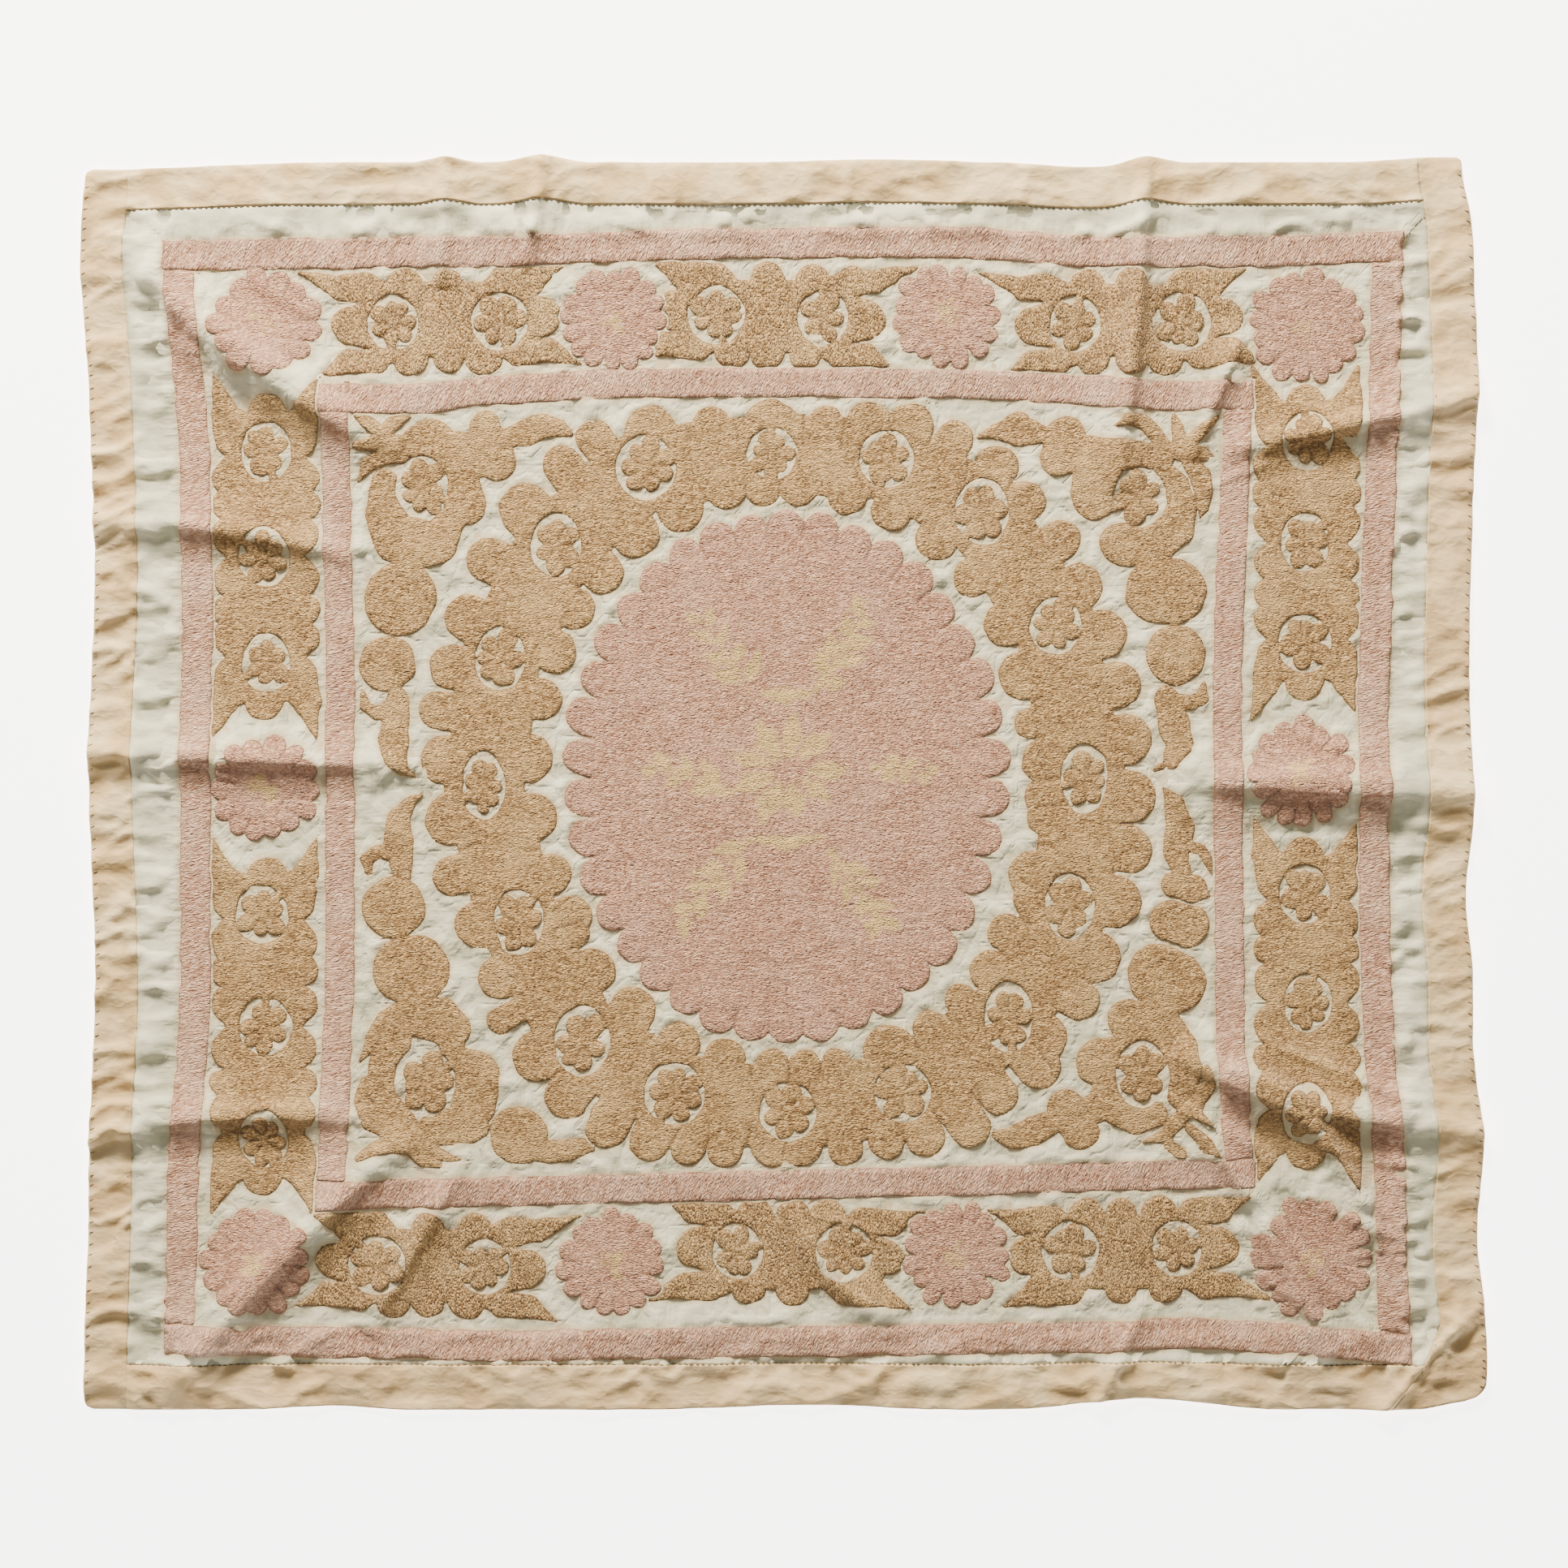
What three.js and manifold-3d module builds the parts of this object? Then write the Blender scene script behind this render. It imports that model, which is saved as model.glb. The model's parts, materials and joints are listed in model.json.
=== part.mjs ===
// An embroidered tablecloth, laid out on a flat surface with the creases it was stored with.
// A pale ground panel is framed by four strips of cream cloth, and thick coloured thread is laid and couched on it:
// two pink frames, a scalloped medallion, a wreath of sand-coloured lobes, rosettes, border blocks and corner sprays.
// Every piece has a flat cut outline, which is laid onto one folded surface and given its thickness there.
// Sizes are in millimetres, with +Z up, +Y towards the top edge, and the origin under the middle of the cloth.

import * as THREE from 'three';
import { mergeVertices } from 'three/addons/utils/BufferGeometryUtils.js';
import Module from 'manifold-3d';

const wasm = await Module();
wasm.setup();

// The flat cloth, from its middle to each edge, and the strips sewn round it.
const CLOTH = { left: -745, right: 738, bottom: -670, top: 666 };
const STRIP = { left: 45, right: 47, bottom: 47, top: 44 };
const CORNER_ROUNDING = { topLeft: 7, topRight: 5, bottomRight: 22, bottomLeft: 10 };
// At the bottom right corner the right strip turns inwards, along a slanting seam from the cloth's edge upwards.
const SLANTED_SEAM = { edge: [640, -670], middle: [672, -623], upper: [691, -578] };

// Heights above the surface that the cloth lies on, and the clearance between two pieces.
const GAP = 0.35;
const PANEL_THICKNESS = 1.3;
const STRIP_THICKNESS = 2;
const THREAD_THICKNESS = 1;
const THREAD_UNDERSIDE = PANEL_THICKNESS + GAP;

// How finely the folded surface is divided: the field it covers, its halvings and the error that they leave.
const FIELD = { left: -790, right: 790, bottom: -710, top: 710 };
const HALVINGS = 6;
const SURFACE_TOLERANCE = 2.4;

// Where the cloth's edges stray from straight: at is the place along the edge, and out is outwards.
const EDGE_BOWS = {
  left: [
    { at: 566, out: 9, reach: 150 },
    { at: 235, out: -7, reach: 210 },
    { at: -205, out: -7, reach: 230 },
    { at: -640, out: 5, reach: 200 },
  ],
  right: [
    { at: 660, out: -12, reach: 80 },
    { at: 440, out: 5, reach: 150 },
    { at: 140, out: -4, reach: 190 },
    { at: -122, out: -8, reach: 90 },
    { at: -390, out: 11, reach: 120 },
    { at: -620, out: 15, reach: 200 },
  ],
  bottom: [
    { at: -490, out: -4, reach: 90 },
    { at: 20, out: -5, reach: 160 },
    { at: 385, out: -12, reach: 150 },
    { at: 730, out: -10, reach: 70 },
  ],
  top: [
    { at: -740, out: -8, reach: 260 },
    { at: -362, out: 5, reach: 38 },
    { at: -258, out: 7, reach: 52 },
    { at: 100, out: 3, reach: 140 },
    { at: 317, out: -5, reach: 90 },
    { at: 389, out: 6, reach: 45 },
    { at: 720, out: 6, reach: 110 },
  ],
};
const SWAY_DEPTH = { left: 330, right: 330, bottom: 70, top: 150 };

// The creases that stand up from the surface. Each crest runs from one point past a bend to another, and the cloth
// falls away from it over the left and right reach, as seen when walking along it.
const FOLDS = {
  leftUpperCrease: { from: [-800, 292], bend: [-600, 296], to: [-466, 250], height: 9, left: 42, right: 34 },
  leftMiddleCrease: { from: [-800, 36], bend: [-600, 28], to: [-395, 18], height: 12, left: 52, right: 32 },
  leftLowerCrease: { from: [-800, -392], bend: [-600, -335], to: [-450, -364], height: 11, left: 52, right: 34 },
  topLeftDiagonal: { from: [-716, 560], bend: [-672, 470], to: [-430, 352], height: 15, left: 62, right: 38 },
  bottomLeftDiagonal: { from: [-660, -655], bend: [-545, -500], to: [-398, -376], height: 17, left: 64, right: 44 },
  bottomLeftSecondDiagonal: { from: [-436, -572], bend: [-392, -490], to: [-344, -404], height: 9, left: 42, right: 30 },
  topFirstRipple: { from: [-366, 540], bend: [-362, 610], to: [-362, 720], height: 8, left: 26, right: 24 },
  topSecondRipple: { from: [-276, 560], bend: [-260, 620], to: [-257, 730], height: 9, left: 30, right: 28 },
  topRightCrease: { from: [358, 330], bend: [386, 500], to: [388, 730], height: 11, left: 42, right: 26 },
  topRightSpur: { from: [436, 356], bend: [462, 410], to: [492, 478], height: 8, left: 28, right: 24 },
  rightUpperCrease: { from: [478, 350], bend: [610, 372], to: [790, 424], height: 12, left: 46, right: 32 },
  rightMiddleFold: { from: [420, 2], bend: [580, 0], to: [800, -14], height: 21, left: 66, right: 54 },
  rightLowerSpur: { from: [492, -236], bend: [575, -268], to: [672, -318], height: 7, left: 30, right: 24 },
  rightLowerFold: { from: [424, -290], bend: [530, -362], to: [800, -376], height: 17, left: 52, right: 38 },
  bottomRightDiagonal: { from: [452, -330], bend: [540, -392], to: [630, -486], height: 10, left: 34, right: 28 },
  bottomRightLongDiagonal: { from: [432, -356], bend: [528, -462], to: [596, -660], height: 12, left: 40, right: 30 },
  bottomMiddleCrease: { from: [126, -566], bend: [40, -560], to: [4, -440], height: 8, left: 34, right: 28 },
  bottomSeamCrease: { from: [322, -690], bend: [352, -630], to: [388, -556], height: 7, left: 30, right: 24 },
  cornerTurn: { from: [628, -700], bend: [690, -600], to: [790, -530], height: 10, left: 34, right: 30 },
};
const CREST_STEPS = 10;

// The two pink thread frames, as they lie: their outer corners, and how far each side bows outwards between them.
const FRAMES = [
  {
    name: 'outer_frame', width: 31,
    topLeft: [-664, 582], topRight: [662, 592], bottomRight: [671, -618], bottomLeft: [-664, -611],
    bows: { top: 9, right: -20, bottom: -3, left: -18 },
  },
  {
    name: 'inner_frame', width: 30,
    topLeft: [-496, 430], topRight: [502, 433], bottomRight: [504, -432], bottomLeft: [-501, -456],
    bows: { top: 9, right: -15, bottom: 0, left: -8 },
  },
];
const FRAME_STEPS = 6;

// The medallion and the wreath round it are ellipses with scalloped sides.
const MEDALLION = { x: 2, y: 7, across: 241, up: 286, lobes: 38, depth: 16 };
const WREATH = { x: 2, y: -2, lobes: 48, quarters: 4 };
const WREATH_OUTSIDE = { across: 394, up: 408, lobeRadius: 28 };
const WREATH_INSIDE = { across: 249, up: 299, lobeRadius: 20 };

// Border ornaments: where each lies, which way it is turned and how many bodies a block has.
const ROSETTE = { radius: 57, petals: 14, depth: 9 };
const ROSETTES = [
  { name: 'rosette_top_left', x: -555, y: 494 },
  { name: 'rosette_top_mid_left', x: -184, y: 499 },
  { name: 'rosette_top_mid_right', x: 178, y: 501 },
  { name: 'rosette_top_right', x: 558, y: 499 },
  { name: 'rosette_left', x: -556, y: -4 },
  { name: 'rosette_right', x: 551, y: 8 },
  { name: 'rosette_bottom_left', x: -562, y: -515 },
  { name: 'rosette_bottom_mid_left', x: -184, y: -510 },
  { name: 'rosette_bottom_mid_right', x: 184, y: -505 },
  { name: 'rosette_bottom_right', x: 562, y: -505 },
];
const BLOCK = { pitch: 112, halfHeight: 53 };
const BLOCK_BODY = { radius: 42, halfStretch: 8 };
const BLOCK_BAR = { radius: 18 };
const BLOCK_END = { start: 30, startRadius: 24, finish: 40, finishRadius: 16 };
const BLOCK_HORN = { start: 12, radius: 21, reach: 78 };
const BLOCKS = [
  { name: 'block_top_left', x: -369, y: 499, turn: 0, bodies: 2 },
  { name: 'block_top_middle', x: -3, y: 503, turn: 0, bodies: 2 },
  { name: 'block_top_right', x: 368, y: 500, turn: 0, bodies: 2 },
  { name: 'block_bottom_left', x: -371, y: -514, turn: 0, bodies: 2 },
  { name: 'block_bottom_middle', x: 4, y: -507, turn: 0, bodies: 2 },
  { name: 'block_bottom_right', x: 373, y: -505, turn: 0, bodies: 2 },
  { name: 'block_left_upper', x: -557, y: 248, turn: 90, bodies: 3 },
  { name: 'block_left_lower', x: -557, y: -250, turn: 90, bodies: 3 },
  { name: 'block_right_upper', x: 560, y: 250, turn: 90, bodies: 3 },
  { name: 'block_right_lower', x: 560, y: -250, turn: 90, bodies: 3 },
];

// The spray in each inner corner, drawn for the top left one and mirrored for the others: tapered lobes,
// each from a round end to another, with their radii.
const SPRAY_LOBES = [
  { name: 'body', x0: -400, y0: 300, r0: 42, x1: -394, y1: 322, r1: 38 },
  { name: 'right lobe', x0: -372, y0: 308, r0: 24, x1: -342, y1: 300, r1: 24 },
  { name: 'top lobe', x0: -392, y0: 352, r0: 28, x1: -384, y1: 372, r1: 27 },
  { name: 'shoulder lobe', x0: -352, y0: 340, r0: 22, x1: -314, y1: 346, r1: 22 },
  { name: 'crown lobe', x0: -352, y0: 356, r0: 18, x1: -320, y1: 378, r1: 20 },
  { name: 'leaf', x0: -316, y0: 374, r0: 14, x1: -262, y1: 386, r1: 15 },
  { name: 'leaf tip', x0: -262, y0: 386, r0: 15, x1: -224, y1: 374, r1: 0 },
  { name: 'corner leaf', x0: -410, y0: 350, r0: 14, x1: -454, y1: 398, r1: 0 },
  { name: 'side leaf', x0: -420, y0: 330, r0: 14, x1: -456, y1: 344, r1: 0 },
  { name: 'large disc', x0: -411, y0: 196, r0: 38, x1: -409, y1: 204, r1: 38 },
  { name: 'link', x0: -408, y0: 222, r0: 22, x1: -404, y1: 270, r1: 22 },
  { name: 'small disc', x0: -424, y0: 127, r0: 29, x1: -422, y1: 132, r1: 29 },
  { name: 'small link', x0: -422, y0: 140, r0: 15, x1: -416, y1: 176, r1: 15 },
  { name: 'comma head', x0: -424, y0: 112, r0: 12, x1: -416, y1: 84, r1: 15 },
  { name: 'comma body', x0: -416, y0: 84, r0: 15, x1: -415, y1: 46, r1: 15 },
  { name: 'comma tail', x0: -415, y0: 46, r0: 15, x1: -394, y1: 12, r1: 0 },
  { name: 'comma hook', x0: -420, y0: 76, r0: 11, x1: -452, y1: 90, r1: 0 },
];
const SPRAYS = [
  { name: 'spray_top_left', flipX: 1, flipY: 1 },
  { name: 'spray_top_right', flipX: -1, flipY: 1 },
  { name: 'spray_bottom_left', flipX: 1, flipY: -1 },
  { name: 'spray_bottom_right', flipX: -1, flipY: -1 },
];
const LOBE_STEPS = 3;

const COLOURS = {
  ground: new THREE.MeshStandardMaterial({ color: 0xdcdacd, roughness: 0.75, metalness: 0 }),
  strip: new THREE.MeshStandardMaterial({ color: 0xe4d3b8, roughness: 0.85, metalness: 0 }),
  pink: new THREE.MeshStandardMaterial({ color: 0xd6ad9b, roughness: 0.9, metalness: 0 }),
  sand: new THREE.MeshStandardMaterial({ color: 0xc49e70, roughness: 0.9, metalness: 0 }),
};

// A bump that is 1 at its middle and 0 from its reach outwards.
const bump = (distance, reach) => {
  const share = Math.min(Math.abs(distance) / reach, 1);
  return (1 - share) ** 2 * (1 + 2 * share);
};

const bow = (edge, place) =>
  EDGE_BOWS[edge].reduce((sum, { at, out, reach }) => sum + out * bump(place - at, reach), 0);

// A point of the flat cloth, moved in plan as far as the nearest edges stray there.
function laid([u, v]) {
  const sway = (edge, distance, place) => bow(edge, place) * bump(Math.max(distance, 0), SWAY_DEPTH[edge]);
  const x = u + sway('right', CLOTH.right - u, v) - sway('left', u - CLOTH.left, v);
  const y = v + sway('top', CLOTH.top - v, u) - sway('bottom', v - CLOTH.bottom, u);
  return [x, y];
}

// The nearest place on a fold's crest: how far along it lies, how far away, and on which side.
function nearestOnCrest(crest, x, y) {
  let best = { distance: Infinity };
  for (let i = 0; i < CREST_STEPS; i += 1) {
    const [a, b] = [crest[i], crest[i + 1]];
    const [dx, dy] = [b.x - a.x, b.y - a.y];
    const share = THREE.MathUtils.clamp(((x - a.x) * dx + (y - a.y) * dy) / (dx * dx + dy * dy), 0, 1);
    const [px, py] = [x - a.x - dx * share, y - a.y - dy * share];
    const distance = Math.hypot(px, py);
    if (distance < best.distance) {
      best = { distance, share: (i + share) / CREST_STEPS, onLeft: dx * py - dy * px > 0 };
    }
  }
  return best;
}

const CREASES = Object.values(FOLDS).map(({ from, bend, to, ...sizes }) => {
  const [start, middle, end] = [from, bend, to].map((point) => new THREE.Vector2(...point));
  return { ...sizes, crest: new THREE.QuadraticBezierCurve(start, middle, end).getPoints(CREST_STEPS) };
});

// How far the cloth stands up at a place in plan.
function rise(x, y) {
  return CREASES.reduce((total, { crest, height, left, right }) => {
    const { distance, share, onLeft } = nearestOnCrest(crest, x, y);
    return total + height * Math.sqrt(Math.sin(Math.PI * share)) * bump(distance, onLeft ? left : right);
  }, 0);
}

// The folded surface in triangles. Right triangles are halved until none is further from it than the tolerance.
function foldedSurface() {
  const cells = 2 ** HALVINGS;
  const across = (FIELD.right - FIELD.left) / cells;
  const up = (FIELD.top - FIELD.bottom) / cells;
  const key = ([i, j]) => j * (cells + 1) + i;
  const heights = new Float64Array((cells + 1) ** 2);
  for (let j = 0; j <= cells; j += 1) {
    for (let i = 0; i <= cells; i += 1) {
      heights[key([i, j])] = rise(FIELD.left + i * across, FIELD.bottom + j * up);
    }
  }
  const middle = (a, b) => [(a[0] + b[0]) / 2, (a[1] + b[1]) / 2];
  const halves = ([a, b, c]) => [[c, a, middle(a, b)], [b, c, middle(a, b)]];
  const whole = [
    [[0, 0], [cells, cells], [cells, 0]],
    [[cells, cells], [0, 0], [0, cells]],
  ];
  const levels = [whole];
  while (levels.length < 2 * HALVINGS) levels.push(levels.at(-1).flatMap(halves));

  const error = new Float64Array(heights.length);
  const inside = (a, b) => error[key(middle(a, b))] || 0;
  levels.reverse().forEach((triangles, fromFinest) => triangles.forEach(([a, b, c]) => {
    const m = key(middle(a, b));
    const own = Math.abs(heights[m] - (heights[key(a)] + heights[key(b)]) / 2);
    const within = fromFinest === 0 ? 0 : Math.max(inside(c, a), inside(b, c));
    error[m] = Math.max(error[m], own, within);
  }));

  const points = [];
  const numbers = new Map();
  const number = (corner) => {
    if (!numbers.has(key(corner))) {
      numbers.set(key(corner), points.length);
      points.push([FIELD.left + corner[0] * across, FIELD.bottom + corner[1] * up, heights[key(corner)]]);
    }
    return numbers.get(key(corner));
  };
  const faces = [];
  const divide = (triangle, level) => {
    const [a, b, c] = triangle;
    if (level < 2 * HALVINGS && inside(a, b) > SURFACE_TOLERANCE) {
      halves(triangle).forEach((half) => divide(half, level + 1));
    } else {
      faces.push([number(a), number(c), number(b)]);
    }
  };
  whole.forEach((triangle) => divide(triangle, 0));
  return { points, faces };
}

const surface = foldedSurface();

// A closed layer over the whole folded surface, between two heights above it.
function layer(lower, upper) {
  const { points, faces } = surface;
  const count = points.length;
  const corners = [lower, upper].flatMap((lift) => points.flatMap(([x, y, z]) => [x, y, z + lift]));
  const edges = new Set(faces.flatMap(([a, b, c]) => [`${a} ${b}`, `${b} ${c}`, `${c} ${a}`]));
  const triangles = faces.flatMap(([a, b, c]) => [c, b, a, a + count, b + count, c + count]);
  edges.forEach((edge) => {
    const [a, b] = edge.split(' ').map(Number);
    if (!edges.has(`${b} ${a}`)) triangles.push(a, b, b + count, a, b + count, a + count);
  });
  return new wasm.Manifold(new wasm.Mesh({
    numProp: 3,
    vertProperties: new Float32Array(corners),
    triVerts: new Uint32Array(triangles),
  }));
}

const PANEL_LAYER = layer(0, PANEL_THICKNESS);
const STRIP_LAYER = layer(0, STRIP_THICKNESS);
const THREAD_LAYER = layer(THREAD_UNDERSIDE, THREAD_UNDERSIDE + THREAD_THICKNESS);

// An upright cutter with the given outline.
const CUTTER = { bottom: -10, height: 80 };
function cutter(outline) {
  const shape = new THREE.Shape(outline.map((point) => new THREE.Vector2(...point)));
  const block = new THREE.ExtrudeGeometry(shape, { depth: CUTTER.height, bevelEnabled: false });
  block.translate(0, 0, CUTTER.bottom);
  block.deleteAttribute('normal');
  block.deleteAttribute('uv');
  const merged = mergeVertices(block, 1e-3);
  return new wasm.Manifold(new wasm.Mesh({
    numProp: 3,
    vertProperties: merged.attributes.position.array,
    triVerts: new Uint32Array(merged.index.array),
  }));
}

const joined = (cutters) => cutters.reduce((all, next) => all.add(next));

// Where the seams lie in the flat cloth.
const SEAMS = {
  left: CLOTH.left + STRIP.left,
  right: CLOTH.right - STRIP.right,
  bottom: CLOTH.bottom + STRIP.bottom,
  top: CLOTH.top - STRIP.top,
};

// A side of an outline, from its start up to its end, with a point at each station that it passes. Pieces that meet
// along a seam share the stations, and so they keep their clearance when they are laid.
const EDGE_STEP = 60;
const STATION_COUNT = 14;
const evenStations = Array.from({ length: 2 * STATION_COUNT + 1 }, (_, i) => (i - STATION_COUNT) * EDGE_STEP);
const STATIONS = [
  [...evenStations, SEAMS.left, SEAMS.right],
  [...evenStations, SEAMS.bottom, SEAMS.top],
];
function along(from, to) {
  const axis = from[0] === to[0] ? 1 : 0;
  const [start, end] = [from[axis], to[axis]];
  const passed = STATIONS[axis]
    .filter((place) => (place - start) * (place - end) < 0)
    .sort((a, b) => (a - b) * Math.sign(end - start))
    .map((place) => (axis === 0 ? [place, from[1]] : [from[0], place]));
  return [from, ...passed];
}

const rectangle = (left, right, bottom, top) => [
  ...along([left, bottom], [right, bottom]),
  ...along([right, bottom], [right, top]),
  ...along([right, top], [left, top]),
  ...along([left, top], [left, bottom]),
];

// A rounded corner of the cloth, from the angle at which it starts round to the next side.
const CORNER_STEPS = 3;
const roundedCorner = (x, y, radius, startDegrees) => Array.from({ length: CORNER_STEPS + 1 }, (_, i) => {
  const angle = THREE.MathUtils.degToRad(startDegrees + (90 * i) / CORNER_STEPS);
  return [x + radius * Math.cos(angle), y + radius * Math.sin(angle)];
});

// A round outline with scallops, each a low arc of a few points from one notch to the next.
const SCALLOP_STEPS = 3;
const scalloped = ({ x, y, across, up, lobes, depth }) =>
  Array.from({ length: lobes * SCALLOP_STEPS }, (_, i) => {
    const angle = (2 * Math.PI * i) / (lobes * SCALLOP_STEPS);
    const inset = i % SCALLOP_STEPS === 0 ? depth : 0;
    return [x + (across - inset) * Math.cos(angle), y + (up - inset) * Math.sin(angle)];
  });

// A lobe with two round ends of different size, or with a pointed end where the radius is 0.
function lobe({ x0, y0, r0, x1, y1, r1 }) {
  const heading = Math.atan2(y1 - y0, x1 - x0);
  const end = (x, y, radius, start) => Array.from({ length: radius > 0 ? LOBE_STEPS + 1 : 1 }, (_, i) => {
    const angle = start + (Math.PI * i) / LOBE_STEPS;
    return [x + radius * Math.cos(angle), y + radius * Math.sin(angle)];
  });
  return [...end(x1, y1, r1, heading - Math.PI / 2), ...end(x0, y0, r0, heading + Math.PI / 2)];
}

// Pieces of cloth, cut flat and then laid.
const cutFlat = (cloth, outline) => cloth.intersect(cutter(outline.map(laid)));

// The slanting seam from its lower to its upper end, moved off the strip that turns inwards there.
const slant = (clearance) => Object.values(SLANTED_SEAM).map(([x, y]) => [x - clearance, y + clearance]);

function groundPanel() {
  const [, low, high] = slant(GAP);
  const [left, right, bottom, top] = [SEAMS.left + GAP, SEAMS.right - GAP, SEAMS.bottom + GAP, SEAMS.top - GAP];
  return cutFlat(PANEL_LAYER, [
    ...along([left, bottom], [low[0], bottom]),
    [low[0], bottom],
    ...along([right, high[1]], [right, top]),
    ...along([right, top], [left, top]),
    ...along([left, top], [left, bottom]),
  ]);
}

function leftStrip() {
  const { left, bottom, top } = CLOTH;
  const { topLeft, bottomLeft } = CORNER_ROUNDING;
  return cutFlat(STRIP_LAYER, [
    ...roundedCorner(left + bottomLeft, bottom + bottomLeft, bottomLeft, 180),
    ...along([SEAMS.left, bottom], [SEAMS.left, top]),
    [SEAMS.left, top],
    ...roundedCorner(left + topLeft, top - topLeft, topLeft, 90),
    ...along([left, top - topLeft], [left, bottom + bottomLeft]).slice(1),
  ]);
}

function rightStrip() {
  const { right, bottom, top } = CLOTH;
  const { topRight, bottomRight } = CORNER_ROUNDING;
  const seam = slant(0);
  return cutFlat(STRIP_LAYER, [
    ...roundedCorner(right - bottomRight, bottom + bottomRight, bottomRight, 270),
    ...along([right, bottom + bottomRight], [right, top - topRight]).slice(1),
    ...roundedCorner(right - topRight, top - topRight, topRight, 0),
    ...along([SEAMS.right, top], seam.at(-1)),
    ...[...seam].reverse(),
  ]);
}

const topStrip = () => cutFlat(STRIP_LAYER,
  rectangle(SEAMS.left + GAP, SEAMS.right - GAP, SEAMS.top, CLOTH.top));

function bottomStrip() {
  const [low, high] = slant(GAP);
  const left = SEAMS.left + GAP;
  return cutFlat(STRIP_LAYER, [
    ...along([left, CLOTH.bottom], [low[0], CLOTH.bottom]),
    [low[0], CLOTH.bottom],
    ...along([high[0], SEAMS.bottom], [left, SEAMS.bottom]),
    [left, SEAMS.bottom],
  ]);
}

// Fields of laid thread.
const threadField = (outlines, holes = []) => {
  const field = THREAD_LAYER.intersect(joined(outlines.map(cutter)));
  return holes.length ? field.subtract(joined(holes.map(cutter))) : field;
};

// One side of a frame, from corner to corner: its bowed outer side, then its inner side back again.
function frameSide(from, to, bowOut, width, trim) {
  const length = Math.hypot(to[0] - from[0], to[1] - from[1]);
  const [dx, dy] = [(to[0] - from[0]) / length, (to[1] - from[1]) / length];
  const row = (inwards) => Array.from({ length: FRAME_STEPS + 1 }, (_, i) => {
    const ahead = trim + ((length - 2 * trim) * i) / FRAME_STEPS;
    const out = bowOut * Math.sin((Math.PI * ahead) / length) - inwards;
    return [from[0] + dx * ahead - dy * out, from[1] + dy * ahead + dx * out];
  });
  return [...row(width), ...row(0).reverse()];
}

// The top and bottom bars of a frame run its whole width, and the side bars are cut to fit between them.
function frameBars({ name, width, topLeft, topRight, bottomRight, bottomLeft, bows }) {
  const top = (depth) => frameSide(topLeft, topRight, bows.top, depth, 0);
  const bottom = (depth) => frameSide(bottomRight, bottomLeft, bows.bottom, depth, 0);
  const between = (outline) => threadField([outline], [top(width + GAP), bottom(width + GAP)]);
  return [
    [`${name}_top`, threadField([top(width)])],
    [`${name}_right`, between(frameSide(topRight, bottomRight, bows.right, width, width / 2))],
    [`${name}_bottom`, threadField([bottom(width)])],
    [`${name}_left`, between(frameSide(bottomLeft, topLeft, bows.left, width, width / 2))],
  ];
}

const onEllipse = ({ across, up }, turn) =>
  [WREATH.x + across * Math.sin(turn), WREATH.y + up * Math.cos(turn)];

// One radial lobe of the wreath, from the inner to the outer ellipse, with room left round it.
function wreathLobe(number, room) {
  const turn = (2 * Math.PI * (number - 0.5)) / WREATH.lobes;
  const [insideX, insideY] = onEllipse(WREATH_INSIDE, turn);
  const [outsideX, outsideY] = onEllipse(WREATH_OUTSIDE, turn);
  const [r0, r1] = [WREATH_INSIDE.lobeRadius, WREATH_OUTSIDE.lobeRadius];
  const length = Math.hypot(outsideX - insideX, outsideY - insideY);
  const [dx, dy] = [(outsideX - insideX) / length, (outsideY - insideY) / length];
  return lobe({
    x0: insideX + dx * r0, y0: insideY + dy * r0, r0: r0 + room,
    x1: outsideX - dx * r1, y1: outsideY - dy * r1, r1: r1 + room,
  });
}

// A quarter of the wreath, cut clear of the last lobe of the quarter before it.
function wreathQuarter(quarter) {
  const each = WREATH.lobes / WREATH.quarters;
  const first = quarter * each;
  return threadField(
    Array.from({ length: each }, (_, i) => wreathLobe(first + i, 0)),
    [wreathLobe(first - 1, GAP)],
  );
}

// A border block: round bodies in a row with a bar between them, and a lobe and two pointed horns at each end.
// Its lobes run from one place to another, each place given as how far ahead and how far up from the block's middle.
function block({ x, y, turn, bodies }) {
  const { pitch, halfHeight } = BLOCK;
  const angle = THREE.MathUtils.degToRad(turn);
  const place = (ahead, up) => [
    x + ahead * Math.cos(angle) - up * Math.sin(angle),
    y + ahead * Math.sin(angle) + up * Math.cos(angle),
  ];
  const placedLobe = (from, r0, to, r1) => {
    const [x0, y0] = place(...from);
    const [x1, y1] = place(...to);
    return lobe({ x0, y0, r0, x1, y1, r1 });
  };
  const middles = Array.from({ length: bodies }, (_, i) => (i - (bodies - 1) / 2) * pitch);
  const outlines = middles.map((at) => {
    const { radius, halfStretch } = BLOCK_BODY;
    return placedLobe([at, -halfStretch], radius, [at, halfStretch], radius);
  });
  middles.slice(1).forEach((at) => {
    const { radius } = BLOCK_BAR;
    const reach = halfHeight - radius;
    outlines.push(placedLobe([at - pitch / 2, -reach], radius, [at - pitch / 2, reach], radius));
  });
  [-1, 1].forEach((side) => {
    const ahead = (distance) => side * (middles.at(-1) + distance);
    const { start, startRadius, finish, finishRadius } = BLOCK_END;
    outlines.push(placedLobe([ahead(start), 0], startRadius, [ahead(finish), 0], finishRadius));
    [-1, 1].forEach((up) => {
      const { radius, reach } = BLOCK_HORN;
      const root = [ahead(BLOCK_HORN.start), up * (halfHeight - radius)];
      outlines.push(placedLobe(root, radius, [ahead(reach), up * halfHeight], 0));
    });
  });
  return threadField(outlines);
}

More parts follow.
